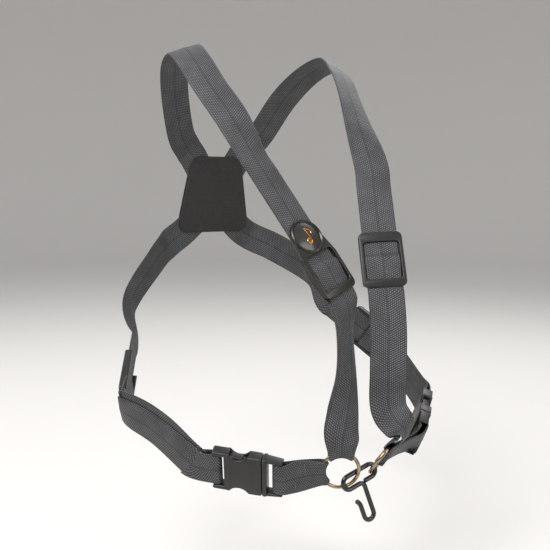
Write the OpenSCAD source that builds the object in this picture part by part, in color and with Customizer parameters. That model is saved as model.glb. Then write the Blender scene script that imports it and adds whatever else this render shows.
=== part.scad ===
// Saxophone harness for a woman player, set out as it hangs on the wearer.
// Two shoulder straps and two waist straps meet in a patch between the shoulder blades. In front, two
// steel rings join the shoulder straps to a belt with two side-release buckles, and a wire hook is
// threaded through both rings.
// Millimetres. The origin is midway between the two shoulders, level with the straps that rest on them.
// +Z is up, the wearer faces -Y, and the wearer's right-hand side is -X.
// Every seat below is a local frame: y runs along the strap or buckle, z faces away from the wearer.

/* [Webbing] */
// Width of the webbing
web_w = 30; // [26:0.5:30]
// Thickness of the webbing
web_t = 1.6; // [1:0.1:1.6]
// Gap between two plies that lie on each other
ply_gap = 0.3; // [0.2:0.1:0.6]

/* [Rings and hook] */
// Radius of a ring, to the middle of its wire
ring_r = 15; // [14:0.5:16]
// Diameter of the ring wire
ring_wire = 3; // [2:0.25:3]
// Diameter of the hook wire
hook_wire = 3.5; // [2.5:0.25:3.5]
// Half the distance between the two strands of the hook's long loop
hook_half = 5.4; // [5.25:0.1:6]
// Half the length of the straight part of the hook's long loop
hook_reach = 10.5; // [10:0.5:12]
// Length of the hook's shank
shank_l = 23; // [10:1:24]
// Radius of the hook's bend, to the middle of its wire
hook_bend = 4.6; // [4:0.2:6]

/* [Slides] */
// Width across every slide
slide_w = 37; // [36.5:0.5:42]
// Length of the plain slides
slide_l = 49; // [46:1:52]
// Length of the badge slide
badge_l = 68; // [66:1:72]
// Diameter of the badge
badge_d = 25; // [22:1:26]
// Travel of the front slides up their straps
front_travel = 40; // [10:1:40]
// Travel of the waist slides towards the back
waist_travel = 20; // [5:1:20]

/* [Buckles] */
// Length of a closed buckle
buckle_l = 58; // [57:0.5:60]
// Width of a buckle
buckle_w = 38; // [37.5:0.5:40]
// Thickness of a buckle
buckle_t = 10; // [9.5:0.5:12]
// Diameter of the bar that the webbing goes round
bar_d = 4; // [3:0.5:4]

/* [Back patch] */
// Thickness of each leather layer
patch_t = 1.6; // [1:0.1:2.5]
// Radius of the patch's corners
patch_r = 10; // [6:1:12]

/* [Hidden] */

black = "#26272a";
steel = "#c9c4bc";
gold = "#b98a4a";
leather = "#201d1b";

fine = 64;
coarse = 32;
steps = 4;          // stations between two points of a route
wrap_steps = 6;     // stations round a ring or a bar
lanes = 3;          // lanes on each side of the webbing's centre line
wrap_half = 42;     // half the angle that a gathered strap takes up on its ring
gather_l = 22;      // length over which a strap gathers before its ring
loose = 0.5;        // room between the webbing and the wire or bar that it goes round
run_gap = 0.25;     // room between the webbing and a slide
seam_gap = 0.2;     // gap between the patch's leather and the webbing

// ---- vectors, seats and curves ----

function unit(v) = v / norm(v);
function mix(a, b, t) = a * (1 - t) + b * t;
function square_to(v, u) = unit(v - (v * u) * u);
function fade(x) = x >= 1 ? 0 : (1 - x) * (1 - x) * (1 + 2 * x);

// A seat is [origin, x, y, z]: y runs along the given direction and z faces as near as it can
function seat(origin, along, face) = let (y = unit(along), z = square_to(face, y)) [origin, cross(y, z), y, z];
function on(s, p) = s[0] + s[1] * p[0] + s[2] * p[1] + s[3] * p[2];

module seated(s)
{
    multmatrix([for (row = [0 : 2]) [s[1][row], s[2][row], s[3][row], s[0][row]]]) children();
}

// A smooth curve through every point but the first and last, which only steer its ends
function bend(a, b, c, d, t) = 0.5 * (2 * b + (c - a) * t + (2 * a - 5 * b + 4 * c - d) * t * t
    + (3 * b - a - 3 * c + d) * t * t * t);
function curve(p) = [for (i = [1 : len(p) - 3], k = [0 : steps - 1])
    bend(p[i - 1], p[i], p[i + 1], p[i + 2], k / steps), p[len(p) - 2]];

// A route row is [x, y, z, and the way the webbing faces]; a station is [place, direction, face]
function stations(route) = let (c = curve(route), n = len(c) - 1)
    [for (i = [0 : n]) let (place = part(c[i], 0), ahead = part(c[min(i + 1, n)], 0),
        behind = part(c[max(i - 1, 0)], 0), t = unit(ahead - behind)) [place, t, square_to(part(c[i], 3), t)]];
function part(row, from) = [row[from], row[from + 1], row[from + 2]];
function slice(list, from, to) = [for (i = [from : to]) list[i]];
function reversed(list) = [for (i = [len(list) - 1 : -1 : 0]) list[i]];
function sink(list, depth) = [for (i = [0 : len(list) - 1]) [list[i][0] - list[i][2] * depth[i], list[i][1], list[i][2]]];
function turned(list) = [for (s = reversed(list)) [s[0], -s[1], -s[2]]];

// ---- webbing ----

// One cross-section at a station: its outer and inner face, gathered where it nears its ring
function section(station, ring) = let (t = station[1], n = station[2], side = cross(t, n),
    to_ring = ring - station[0], g = fade((norm(to_ring) - ring_r) / gather_l),
    down = t * sign(to_ring * t))
    [for (face = [0.5, -0.5]) [for (j = [-lanes : lanes]) let (a = wrap_half * j / lanes)
        station[0] + n * (face * web_t) + side * mix(web_w / 2 * j / lanes, ring_r * sin(a), g)
            + down * (g * ring_r * (1 - cos(a)))]];
function ply(list, ring) = [for (s = list) section(s, ring)];
FAR = [0, 0, 1e6];   // stands for no ring: the webbing stays flat

// Turns round a ring (radius > 0) or a straight bar (radius 0). The seat's y points at the webbing.
function wrap(s, from, to, radius, wire) = [for (k = [1 : wrap_steps - 1])
    let (a = mix(from, to, k / wrap_steps), side = -s[1] * sign(to - from))
    [for (face = [web_t, 0]) [for (j = [-lanes : lanes]) let (b = radius > 0 ? wrap_half * j / lanes : 0,
        out = s[2] * cos(b) + side * sin(b), lane = radius > 0 ? out * radius : side * (web_w / 2 * j / lanes))
        s[0] + lane + (out * cos(a) + s[3] * sin(a)) * (wire / 2 + loose + face)]]];

// The closed solid between the outer and inner faces of a run of cross-sections
module webbing(rows)
{
    m = len(rows[0][0]);
    last = len(rows) - 1;
    points = [for (r = rows, face = r, p = face) p];
    function at(i, face, j) = (2 * i + face) * m + j;
    faces = concat(
        [for (i = [0 : last - 1], j = [0 : m - 2]) [at(i, 0, j), at(i + 1, 0, j), at(i + 1, 0, j + 1)]],
        [for (i = [0 : last - 1], j = [0 : m - 2]) [at(i, 0, j), at(i + 1, 0, j + 1), at(i, 0, j + 1)]],
        [for (i = [0 : last - 1], j = [0 : m - 2]) [at(i, 1, j), at(i + 1, 1, j + 1), at(i + 1, 1, j)]],
        [for (i = [0 : last - 1], j = [0 : m - 2]) [at(i, 1, j), at(i, 1, j + 1), at(i + 1, 1, j + 1)]],
        [for (i = [0 : last - 1]) [at(i, 0, 0), at(i, 1, 0), at(i + 1, 1, 0)]],
        [for (i = [0 : last - 1]) [at(i, 0, 0), at(i + 1, 1, 0), at(i + 1, 0, 0)]],
        [for (i = [0 : last - 1]) [at(i, 0, m - 1), at(i + 1, 1, m - 1), at(i, 1, m - 1)]],
        [for (i = [0 : last - 1]) [at(i, 0, m - 1), at(i + 1, 0, m - 1), at(i + 1, 1, m - 1)]],
        [for (j = [0 : m - 2]) [at(0, 0, j), at(0, 0, j + 1), at(0, 1, j + 1)]],
        [for (j = [0 : m - 2]) [at(0, 0, j), at(0, 1, j + 1), at(0, 1, j)]],
        [for (j = [0 : m - 2]) [at(last, 0, j), at(last, 1, j + 1), at(last, 0, j + 1)]],
        [for (j = [0 : m - 2]) [at(last, 0, j), at(last, 1, j), at(last, 1, j + 1)]]);
    polyhedron(points, faces);
}

// ---- seats of the hard parts ----

patch = seat([0, 92, -134], [0, -0.12, 1], [0, 1, 0.12]);

right_ring_c = [-23.4, -155.3, -344.4];
right_ring_face = [-0.45, -0.87, -0.2];
left_ring_c = [15.6, -160.3, -340];
left_ring_face = [0.41, -0.7, -0.58];
right_ring_up = seat(right_ring_c, square_to([0, 0, 1], unit(right_ring_face)), right_ring_face);
left_ring_up = seat(left_ring_c, square_to([0.1, 0, 1], unit(left_ring_face)), left_ring_face);
right_ring_side = seat(right_ring_c, square_to([-1, 0.3, 0], unit(right_ring_face)), right_ring_face);
left_ring_side = seat(left_ring_c, square_to([0.83, 0.56, -0.08], unit(left_ring_face)), left_ring_face);

hook_seat = seat([-6.5, -158.5, -352], [-0.31, 0.12, 0.95], [-0.06, -1, -0.03]);

badge_seat = seat([-27, -129, -176], [-0.36, 0.43, 0.83], [0.1, -0.9, 0.35]);
plain_seat = seat([39, -130, -181], [0.175, 0.395, 0.9], [-0.5, -0.8, 0.3]);
right_waist_seat = seat([-133, 12, -292], [0.44, 0.69, 0.57], [-0.84, 0.54, 0]);
left_waist_seat = seat([134, 4, -272], [-0.4, 0.71, 0.57], [0.88, 0.47, 0]);

right_buckle_seat = seat([-64, -135, -349], [-0.7, 0.71, 0.09], [-0.56, -0.72, -0.4]);
left_buckle_seat = seat([62, -151, -334], [0.7, 0.67, 0.24], [0.5, -0.75, -0.4]);

male_bar_y = 5;
female_bar_y = buckle_l - 3.5;
right_male_bar = seat(on(right_buckle_seat, [0, male_bar_y, 0]), -right_buckle_seat[2], right_buckle_seat[3]);
left_male_bar = seat(on(left_buckle_seat, [0, male_bar_y, 0]), -left_buckle_seat[2], left_buckle_seat[3]);
right_female_bar = seat(on(right_buckle_seat, [0, female_bar_y, 0]), right_buckle_seat[2], right_buckle_seat[3]);
left_female_bar = seat(on(left_buckle_seat, [0, female_bar_y, 0]), left_buckle_seat[2], left_buckle_seat[3]);

// ---- routes: [x, y, z, face x, face y, face z]; the first and last rows only steer ----

// Straight through a slide: five places along its y, the first one lead above its travel
function through(s, half, travel, bar_y, lead) = [for (y = [half + travel + lead, half + travel, bar_y, -half, -half - 8])
    concat(on(s, [0, y, 0]), s[3])];
// A row on the back patch
function patched(x, y) = concat(on(patch, [x, y, 0]), patch[3]);
// The last rows before a ring or bar: the outer ply arrives in front of the wire
function arrival(s, radius, wire, lead) = let (rise = wire / 2 + loose + web_t / 2)
    [for (y = [lead, 0, -lead]) concat(on(s, [0, radius + y, rise * (y > 0 ? 0.8 : 1)]), s[3])];

badge_bar_y = -10;
badge_half = badge_l / 2;
slide_half = slide_l / 2;

right_front_route = concat(
    [patched(9, 10), patched(15.5, 26.5), patched(26, 44), patched(33, 53), [-46, 76, -66, -0.15, 0.93, 0.35]],
    [[-62, 55, -30, -0.25, 0.8, 0.6], [-74, 28, -7, -0.3, 0.35, 0.9], [-80, 0, 0, -0.35, -0.15, 0.93],
        [-82, -24, -13, -0.35, -0.55, 0.75], [-79, -46, -36, -0.3, -0.75, 0.6], [-71, -68, -63, -0.25, -0.85, 0.45]],
    through(badge_seat, badge_half, front_travel, badge_bar_y, 25),
    [[-13, -150, -233, 0.5, -0.85, 0.1], [-15, -155, -268, 0.4, -0.9, 0], [-20, -157, -298, 0, -1, 0]],
    arrival(right_ring_up, ring_r, ring_wire, 14));

left_front_route = concat(
    [patched(-9, 10), patched(-15.5, 26.5), patched(-26, 44), patched(-33, 53), [46, 76, -66, 0.15, 0.93, 0.35]],
    [[62, 55, -30, 0.25, 0.8, 0.6], [74, 28, -7, 0.3, 0.35, 0.9], [80, 0, 0, 0.35, -0.15, 0.93],
        [75, -24, -13, 0.3, -0.5, 0.8], [68, -46, -35, 0.25, -0.65, 0.7], [61, -68, -62, 0, -0.8, 0.5]],
    through(plain_seat, slide_half, front_travel, 0, 25),
    [[29, -151, -238, -0.55, -0.8, 0.05], [24, -157, -270, -0.55, -0.8, 0], [22, -161, -300, -0.4, -0.9, 0]],
    arrival(left_ring_up, ring_r, ring_wire, 14));

right_waist_route = concat(
    [patched(5, -5), patched(16.5, -15), patched(34, -31), patched(50, -43), [-72, 82, -192, -0.4, 0.9, 0.1],
        [-108, 64, -230, -0.65, 0.75, 0]],
    through(right_waist_seat, slide_half, waist_travel, 0, 12),
    [[-134, -42, -321, -1, 0, -0.1], [-121, -78, -338, -0.8, -0.55, -0.25]],
    arrival(right_female_bar, 0, bar_d, 18));

left_waist_route = concat(
    [patched(-5, -5), patched(-16.5, -15), patched(-34, -31), patched(-50, -40), [72, 82, -186, 0.4, 0.9, 0.1],
        [110, 60, -214, 0.65, 0.75, 0]],
    through(left_waist_seat, slide_half, waist_travel, 0, 12),
    [[136, -48, -298, 1, -0.1, -0.1], [123, -88, -314, 0.8, -0.55, -0.25]],
    arrival(left_female_bar, 0, bar_d, 18));

// ---- the four limbs: outer ply, turn, inner ply ----

bar_t = 1.5;                                        // thickness of a slide's centre bar
bar_back = web_t / 2 + run_gap + bar_t;             // how far back that bar reaches
two_plies = web_t + ply_gap;
behind_bar = bar_back + run_gap + web_t / 2;        // how far back the inner ply passes it
ring_rise = ring_wire / 2 + loose + web_t / 2;
bar_rise = bar_d / 2 + loose + web_t / 2;
spread_l = 25;                                      // length over which two plies part round a wire

function bar_index(lead_rows) = (lead_rows + 1) * steps;

// The inner ply, from the ring or bar up to the slide's centre bar
function inner_ply(outer, index, rise) = let (list = slice(outer, index, len(outer) - 1), n = len(list) - 1)
    turned(sink(list, [for (i = [0 : n]) two_plies
        + (2 * rise - two_plies) * fade(norm(list[i][0] - list[n][0]) / spread_l)
        + (behind_bar - two_plies) * fade(norm(list[i][0] - list[0][0]) / spread_l)]));

front_lead = 11;   // rows of a front route before its slide
waist_lead = 6;    // rows of a waist route before its slide
own_ply = 9;       // stations of inner ply that stay with the shoulder strap
near_ply = 10;     // stations of outer ply, from the buckle, that go with the waist loop

module shoulder_strap(route, ring)
{
    outer = stations(route);
    inner = inner_ply(outer, bar_index(front_lead), ring_rise);
    color(black) webbing(concat(ply(outer, ring[0]), wrap(ring, 90, 270, ring_r, ring_wire),
        ply(slice(inner, 0, own_ply), ring[0])));
}

module front_loop(route, ring)
{
    inner = inner_ply(stations(route), bar_index(front_lead), ring_rise);
    color(black) webbing(ply(slice(inner, own_ply, len(inner) - 1), ring[0]));
}

module waist_strap(route)
{
    outer = stations(route);
    color(black) webbing(ply(slice(outer, 0, len(outer) - 1 - near_ply), FAR));
}

module waist_loop(route, bar)
{
    outer = stations(route);
    inner = inner_ply(outer, bar_index(waist_lead), bar_rise);
    color(black) webbing(concat(ply(slice(outer, len(outer) - 1 - near_ply, len(outer) - 1), FAR),
        wrap(bar, 90, 270, 0, bar_d), ply(inner, FAR)));
}

// A closed band from a ring to the male buckle's bar; its two ends meet on the wearer's side
module belt_tab(ring, bar)
{
    start = on(ring, [0, ring_r, 0]);
    route = [for (row = [[ring, ring_r - 10], [ring, ring_r], [ring, ring_r + 10], [bar, 10], [bar, 0], [bar, -10]])
        concat(on(row[0], [0, row[1], 0]), row[0][3])];
    mid = stations(route);
    n = len(mid) - 1;
    half_l = norm(start - bar[0]) / 2;
    half_gap = [for (s = mid) two_plies / 2
        + (ring_rise - two_plies / 2) * fade(norm(s[0] - mid[0][0]) / half_l)
        + (bar_rise - two_plies / 2) * fade(norm(s[0] - mid[n][0]) / half_l)];
    inner = sink(mid, half_gap);
    cut = n / 2;
    color(black) webbing(concat(
        ply(turned(slice(inner, 0, cut)), ring[0]),
        wrap(ring, 270, 90, ring_r, ring_wire),
        ply(sink(mid, -half_gap), ring[0]),
        wrap(bar, 90, 270, 0, bar_d),
        ply(turned(slice(inner, cut + 1, n)), ring[0])));
}

module right_shoulder_strap() shoulder_strap(right_front_route, right_ring_up);
module left_shoulder_strap() shoulder_strap(left_front_route, left_ring_up);
module right_front_loop() front_loop(right_front_route, right_ring_up);
module left_front_loop() front_loop(left_front_route, left_ring_up);
module right_waist_strap() waist_strap(right_waist_route);
module left_waist_strap() waist_strap(left_waist_route);
module right_waist_loop() waist_loop(right_waist_route, right_female_bar);
module left_waist_loop() waist_loop(left_waist_route, left_female_bar);
module right_belt_tab() belt_tab(right_ring_side, right_male_bar);
module left_belt_tab() belt_tab(left_ring_side, left_male_bar);

// ---- back patch: two leather layers with the four strap ends sewn between them ----

module patch_layer()
{
    linear_extrude(patch_t) hull()
        for (p = [[-18, 36], [18, 36], [-32, -22], [32, -22]]) translate(p) circle(patch_r, $fn = coarse);
}
module back_patch_outer() color(leather) seated(patch) translate([0, 0, web_t / 2 + seam_gap]) patch_layer();
module back_patch_inner()
    color(leather) seated(patch) translate([0, 0, -web_t / 2 - seam_gap - patch_t]) patch_layer();

// ---- rings and hook ----

module ring_body() color(steel) rotate_extrude($fn = fine) translate([ring_r, 0]) circle(d = ring_wire, $fn = coarse);
module right_ring() seated(right_ring_up) ring_body();
module left_ring() seated(left_ring_up) ring_body();

module rod(from, to) let (v = to - from)
    translate(from) rotate([0, 0, atan2(v[1], v[0])]) rotate([0, 90, 0]) cylinder(d = hook_wire, h = norm(v), $fn = coarse);
module bow(centre, radius, from, sweep)
    translate(centre) rotate([0, 0, from]) rotate_extrude(angle = sweep, $fn = fine)
        translate([radius, 0]) circle(d = hook_wire, $fn = coarse);

// The hook lies in its seat's x-y plane: a long loop, a shank from the middle of its lower strand, a bend
neck_r = 4;           // radius where the lower strand turns down into the shank
neck_x = 2;           // how far the shank stands from the loop's middle
gate_gap = 2;         // gap between the shank's neck and the loop's cut end
rise_l = 9;           // straight length of the hook's rising side
curl_r = 9;           // radius of the curl at the tip
curl = 38;            // how far the tip curls outwards
module hook()
{
    shank_top = -hook_half - neck_r;
    shank_end = shank_top - shank_l;
    tip_x = neck_x - 2 * hook_bend;
    color("#17171a") seated(hook_seat) union() {
        rod([neck_x + gate_gap, -hook_half, 0], [hook_reach, -hook_half, 0]);
        bow([hook_reach, 0, 0], hook_half, -90, 180);
        rod([hook_reach, hook_half, 0], [-hook_reach, hook_half, 0]);
        bow([-hook_reach, 0, 0], hook_half, 90, 180);
        rod([-hook_reach, -hook_half, 0], [neck_x - neck_r, -hook_half, 0]);
        bow([neck_x - neck_r, shank_top, 0], neck_r, 0, 90);
        rod([neck_x, shank_top, 0], [neck_x, shank_end, 0]);
        bow([neck_x - hook_bend, shank_end, 0], hook_bend, 180, 180);
        rod([tip_x, shank_end, 0], [tip_x, shank_end + rise_l, 0]);
        bow([tip_x - curl_r, shank_end + rise_l, 0], curl_r, 0, curl);
    }
}

// ---- slides ----

bar_front = 2.4;      // thickness of a slide's end bars
channel_w = web_w + 0.8;
front_z = web_t / 2 + run_gap;

module rounded(w, l, r)
{
    square([w - 2 * r, l], center = true);
    square([w, l - 2 * r], center = true);
    for (x = [-1, 1], y = [-1, 1]) translate([x * (w / 2 - r), y * (l / 2 - r)]) circle(r, $fn = fine);
}
// A frame with one window; its end bars pass in front of the webbing and its centre bar behind
module slide_frame(l, window_from, window_to, bar_y)
{
    centre_bar_l = 5;
    difference() {
        union() {
            translate([0, 0, -bar_back]) linear_extrude(bar_back + front_z + bar_front) children(0);
            translate([0, 0, front_z]) linear_extrude(bar_front) children(1);
        }
        translate([-channel_w / 2, -l, -2 * bar_back]) cube([channel_w, 2 * l, 2 * bar_back + front_z]);
        translate([-channel_w / 2, window_from, 0]) cube([channel_w, window_to - window_from, 2 * bar_front + front_z]);
    }
    translate([-slide_w / 2 + 1, bar_y - centre_bar_l / 2, -bar_back]) cube([slide_w - 2, centre_bar_l, bar_t]);
}
module plain_frame()
{
    slide_frame(slide_l, -slide_half + 7, slide_half - 9, 0) {
        rounded(slide_w, slide_l, 4);
        rounded(slide_w, slide_l, 4);
    }
}
module plain_slide() color(black) seated(plain_seat) plain_frame();
module right_waist_slide() color(black) seated(right_waist_seat) plain_frame();
module left_waist_slide() color(black) seated(left_waist_seat) plain_frame();

// The badge slide has a round-ended plate for the badge instead of a top bar
badge_y = badge_half - badge_d / 2 - 3;
rim_r = badge_d / 2 + 3;
rim_w = 1.6;
rim_h = 1.2;
dome_h = 2.6;
badge_z = front_z + bar_front;
shoulder_y = 4;       // where the plate begins to narrow towards its round end
module badge_lower() translate([0, (shoulder_y - badge_half) / 2]) rounded(slide_w, badge_half + shoulder_y, 4);
module badge_plate()
{
    badge_lower();
    polygon([[-slide_w / 2, -4], [-slide_w / 2, 0], [-rim_r, badge_y], [rim_r, badge_y], [slide_w / 2, 0],
        [slide_w / 2, -4]]);
    translate([0, badge_y]) circle(rim_r, $fn = fine);
}
module badge_slide()
{
    color(black) seated(badge_seat) {
        slide_frame(badge_l, -badge_half + 7, badge_y - badge_d / 2 - 3, badge_bar_y) {
            badge_lower();
            badge_plate();
        }
        translate([0, badge_y, badge_z - 0.5]) difference() {
            cylinder(r = rim_r, h = rim_h + 0.5, $fn = fine);
            translate([0, 0, -1]) cylinder(r = rim_r - rim_w, h = rim_h + 2, $fn = fine);
        }
    }
}
module dome(grow)
{
    r = (badge_d * badge_d / 4 + dome_h * dome_h) / (2 * dome_h);
    intersection() {
        translate([0, 0, dome_h - r]) sphere(r + grow, $fn = 128);
        cylinder(d = badge_d, h = dome_h + 1, $fn = fine);
    }
}
module badge_dome() color("#101114") seated(badge_seat) translate([0, badge_y, badge_z]) dome(0);

// An eighth note, let into the dome and standing a little proud
module badge_emblem()
{
    proud = 0.25;
    color(gold) seated(badge_seat) translate([0, badge_y, badge_z]) difference() {
        intersection() {
            dome(proud);
            linear_extrude(2 * dome_h) {
                translate([-2.2, -4.4]) circle(2.6, $fn = coarse);
                polygon([[-0.8, -4.4], [0.4, -4.4], [0.4, 4], [3.5, 2.4], [4.5, 0.4], [4.4, 3.4], [0.4, 7], [-0.8, 7]]);
            }
        }
        dome(0);
    }
}

// ---- side-release buckles: y = 0 at the male's end, y = buckle_l at the female's ----

wall_t = 1.6;         // wall above and below the arms
rail_x = web_w / 2 + 0.6;
mouth_y = 17;         // where the female begins
window_y = 28;        // front edge of the side windows
block_y = 45;         // back wall of the arms' cavity
slot_y = 47.5;        // the webbing's slot
cavity_x = 14.9;
cavity_z = buckle_t / 2 - wall_t;
arm_t = 2 * cavity_z - 0.8;
hinge = [11.5, 19.5];
hinge_r = 2;
scallop_r = 9;
scallop_in = 4.6;     // depth of the finger scallops
clear = 0.3;

module slab(outline, z) translate([0, 0, -z / 2]) linear_extrude(z) polygon(outline);

module buckle_male(s)
{
    base_y = mouth_y - 3.5;
    color(black) seated(s) difference() {
        union() {
            for (x = [-1, 1]) scale([x, 1, 1]) {
                slab([[rail_x, 0], [rail_x + 1.4, 0], [buckle_w / 2, base_y], [rail_x, base_y]], buckle_t - 2);
            }
            translate([0, male_bar_y, 0]) rotate([0, 90, 0]) cylinder(d = bar_d, h = 2 * rail_x + 1, center = true, $fn = fine);
            translate([-buckle_w / 2, base_y, -buckle_t / 2]) cube([buckle_w, mouth_y - clear - base_y, buckle_t]);
            translate([-3.5, base_y, -1.6]) cube([7, 25, 3.2]);
        }
        for (x = [-1, 1]) translate([x * hinge[0], hinge[1], -buckle_t]) cylinder(r = hinge_r + clear, h = 2 * buckle_t, $fn = fine);
    }
}
module right_buckle_male() buckle_male(right_buckle_seat);
module left_buckle_male() buckle_male(left_buckle_seat);

module buckle_female(s)
{
    corner_r = 3;
    scallop_y = 36;
    color(black) seated(s) {
        difference() {
            translate([0, (mouth_y + buckle_l) / 2, -buckle_t / 2])
                linear_extrude(buckle_t) rounded(buckle_w, buckle_l - mouth_y, corner_r);
            translate([-cavity_x, mouth_y - 1, -cavity_z]) cube([2 * cavity_x, block_y - mouth_y + 1, 2 * cavity_z]);
            translate([-buckle_w, window_y, -cavity_z]) cube([2 * buckle_w, block_y - window_y, 2 * cavity_z]);
            for (x = [-1, 1]) translate([x * (buckle_w / 2 + scallop_r - scallop_in), scallop_y, -buckle_t])
                cylinder(r = scallop_r, h = 2 * buckle_t, $fn = fine);
            translate([-rail_x, slot_y, -buckle_t]) cube([2 * rail_x, buckle_l, 2 * buckle_t]);
        }
        translate([0, female_bar_y, 0]) rotate([0, 90, 0]) cylinder(d = bar_d, h = 2 * rail_x + 1, center = true, $fn = fine);
    }
}
module right_buckle_female() buckle_female(right_buckle_seat);
module left_buckle_female() buckle_female(left_buckle_seat);

// A sprung arm: knuckle at its root, lock step at the window's front edge, pad in the window
module buckle_arm(s, x)
{
    lock_y = window_y + 5;
    color(black) seated(s) scale([x, 1, 1]) {
        slab([[hinge[0] - 1.2, hinge[1]], [hinge[0] + 1.8, hinge[1] - 0.8], [14.3, 24], [14.3, lock_y - 0.2],
            [15.1, lock_y], [15.4, 36], [16.1, 40], [16.4, 43], [15.4, 44.3], [13, 44.3], [12, 43], [11.6, 31],
            [10.6, 24]], arm_t);
        translate([hinge[0], hinge[1], -arm_t / 2]) cylinder(r = hinge_r, h = arm_t, $fn = fine);
    }
}
module right_buckle_upper_arm() buckle_arm(right_buckle_seat, 1);
module right_buckle_lower_arm() buckle_arm(right_buckle_seat, -1);
module left_buckle_upper_arm() buckle_arm(left_buckle_seat, -1);
module left_buckle_lower_arm() buckle_arm(left_buckle_seat, 1);

right_shoulder_strap();
left_shoulder_strap();
right_front_loop();
left_front_loop();
right_waist_strap();
left_waist_strap();
right_waist_loop();
left_waist_loop();
right_belt_tab();
left_belt_tab();
back_patch_outer();
back_patch_inner();
right_ring();
left_ring();
hook();
badge_slide();
badge_dome();
badge_emblem();
plain_slide();
right_waist_slide();
left_waist_slide();
right_buckle_male();
left_buckle_male();
right_buckle_female();
left_buckle_female();
right_buckle_upper_arm();
right_buckle_lower_arm();
left_buckle_upper_arm();
left_buckle_lower_arm();
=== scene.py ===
"""A woman's saxophone harness of webbing, with a back patch, rings, a hook, slides and buckles.

Every size below is in millimetres in the harness's own frame, and meshes are built in metres.
"""
from dataclasses import dataclass, field
from enum import Enum
from functools import partial
import logging
import math
from typing import Callable, Iterable, Sequence

import bmesh
import bpy
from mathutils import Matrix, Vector
import numpy as np


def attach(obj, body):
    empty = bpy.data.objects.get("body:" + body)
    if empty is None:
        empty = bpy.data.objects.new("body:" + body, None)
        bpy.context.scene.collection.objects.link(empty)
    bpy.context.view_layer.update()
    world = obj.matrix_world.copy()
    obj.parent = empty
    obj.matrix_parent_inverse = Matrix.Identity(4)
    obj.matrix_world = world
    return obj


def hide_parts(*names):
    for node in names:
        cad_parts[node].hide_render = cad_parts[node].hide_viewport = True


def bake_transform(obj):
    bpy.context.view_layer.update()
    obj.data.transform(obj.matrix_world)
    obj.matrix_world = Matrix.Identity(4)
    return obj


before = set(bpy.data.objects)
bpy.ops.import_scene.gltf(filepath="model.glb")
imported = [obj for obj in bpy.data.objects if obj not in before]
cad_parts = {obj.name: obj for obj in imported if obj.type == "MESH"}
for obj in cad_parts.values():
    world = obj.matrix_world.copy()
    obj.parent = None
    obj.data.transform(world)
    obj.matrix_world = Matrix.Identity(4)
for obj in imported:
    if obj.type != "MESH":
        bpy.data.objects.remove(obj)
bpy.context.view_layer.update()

LOG = logging.getLogger("harness")
MM = 0.001
Row = Sequence[float]


# ---------------------------------------------------------------- names that the frame gives

class Body(str, Enum):
    """Rigid bodies of the frame that pieces ride on."""
    HARNESS = "harness"
    RIGHT_RING = "right_ring"
    LEFT_RING = "left_ring"
    HOOK = "hook"
    BADGE_SLIDE = "badge_slide"
    PLAIN_SLIDE = "plain_slide"
    RIGHT_WAIST_SLIDE = "right_waist_slide"
    LEFT_WAIST_SLIDE = "left_waist_slide"
    RIGHT_FEMALE = "right_buckle_female"
    LEFT_FEMALE = "left_buckle_female"


class Slot(str, Enum):
    """Material slots of the record."""
    WEBBING = "webbing"
    LEATHER = "leather"
    RING = "ring_steel"
    HOOK = "hook_wire"
    PLASTIC = "plastic"
    BADGE = "badge"
    EMBLEM = "emblem"


# ---------------------------------------------------------------- vectors and curves

def unit(v: Row) -> np.ndarray:
    """Return the vector at length one."""
    a = np.asarray(v, float)
    return a / np.linalg.norm(a)


def square_to(v: Row, u: np.ndarray) -> np.ndarray:
    """Return the direction of v with its part along the unit vector u taken out."""
    a = np.asarray(v, float)
    return unit(a - (a @ u) * u)


def fade(x: np.ndarray) -> np.ndarray:
    """Fall smoothly from 1 at x = 0 to 0 at x = 1 and beyond."""
    x = np.clip(x, 0.0, 1.0)
    return (1 - x) ** 2 * (1 + 2 * x)


@dataclass(frozen=True)
class Seat:
    """A local frame of a hard part: y runs along it and z faces away from the wearer."""
    origin: np.ndarray
    x: np.ndarray
    y: np.ndarray
    z: np.ndarray

    @classmethod
    def facing(cls, origin: Row, along: Row, face: Row) -> "Seat":
        """Build a seat.

        Args:
            origin: Its place.
            along: The direction of y.
            face: The direction that z comes as near to as it can.

        Returns:
            The seat.
        """
        y = unit(along)
        z = square_to(face, y)
        return cls(np.asarray(origin, float), np.cross(y, z), y, z)

    def on(self, points: Iterable[Row]) -> np.ndarray:
        """Return points given in the seat as points of the harness."""
        p = np.asarray(points, float)
        return self.origin + p[..., :1] * self.x + p[..., 1:2] * self.y + p[..., 2:3] * self.z

    def at(self, x: float, y: float, z: float = 0.0) -> np.ndarray:
        """Return one point given in the seat as a point of the harness."""
        return self.origin + x * self.x + y * self.y + z * self.z

    def metres(self, x: float, y: float, z: float = 0.0) -> tuple[float, float, float]:
        """Return one point given in the seat as metres."""
        return tuple(float(v) * MM for v in self.at(x, y, z))


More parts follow.
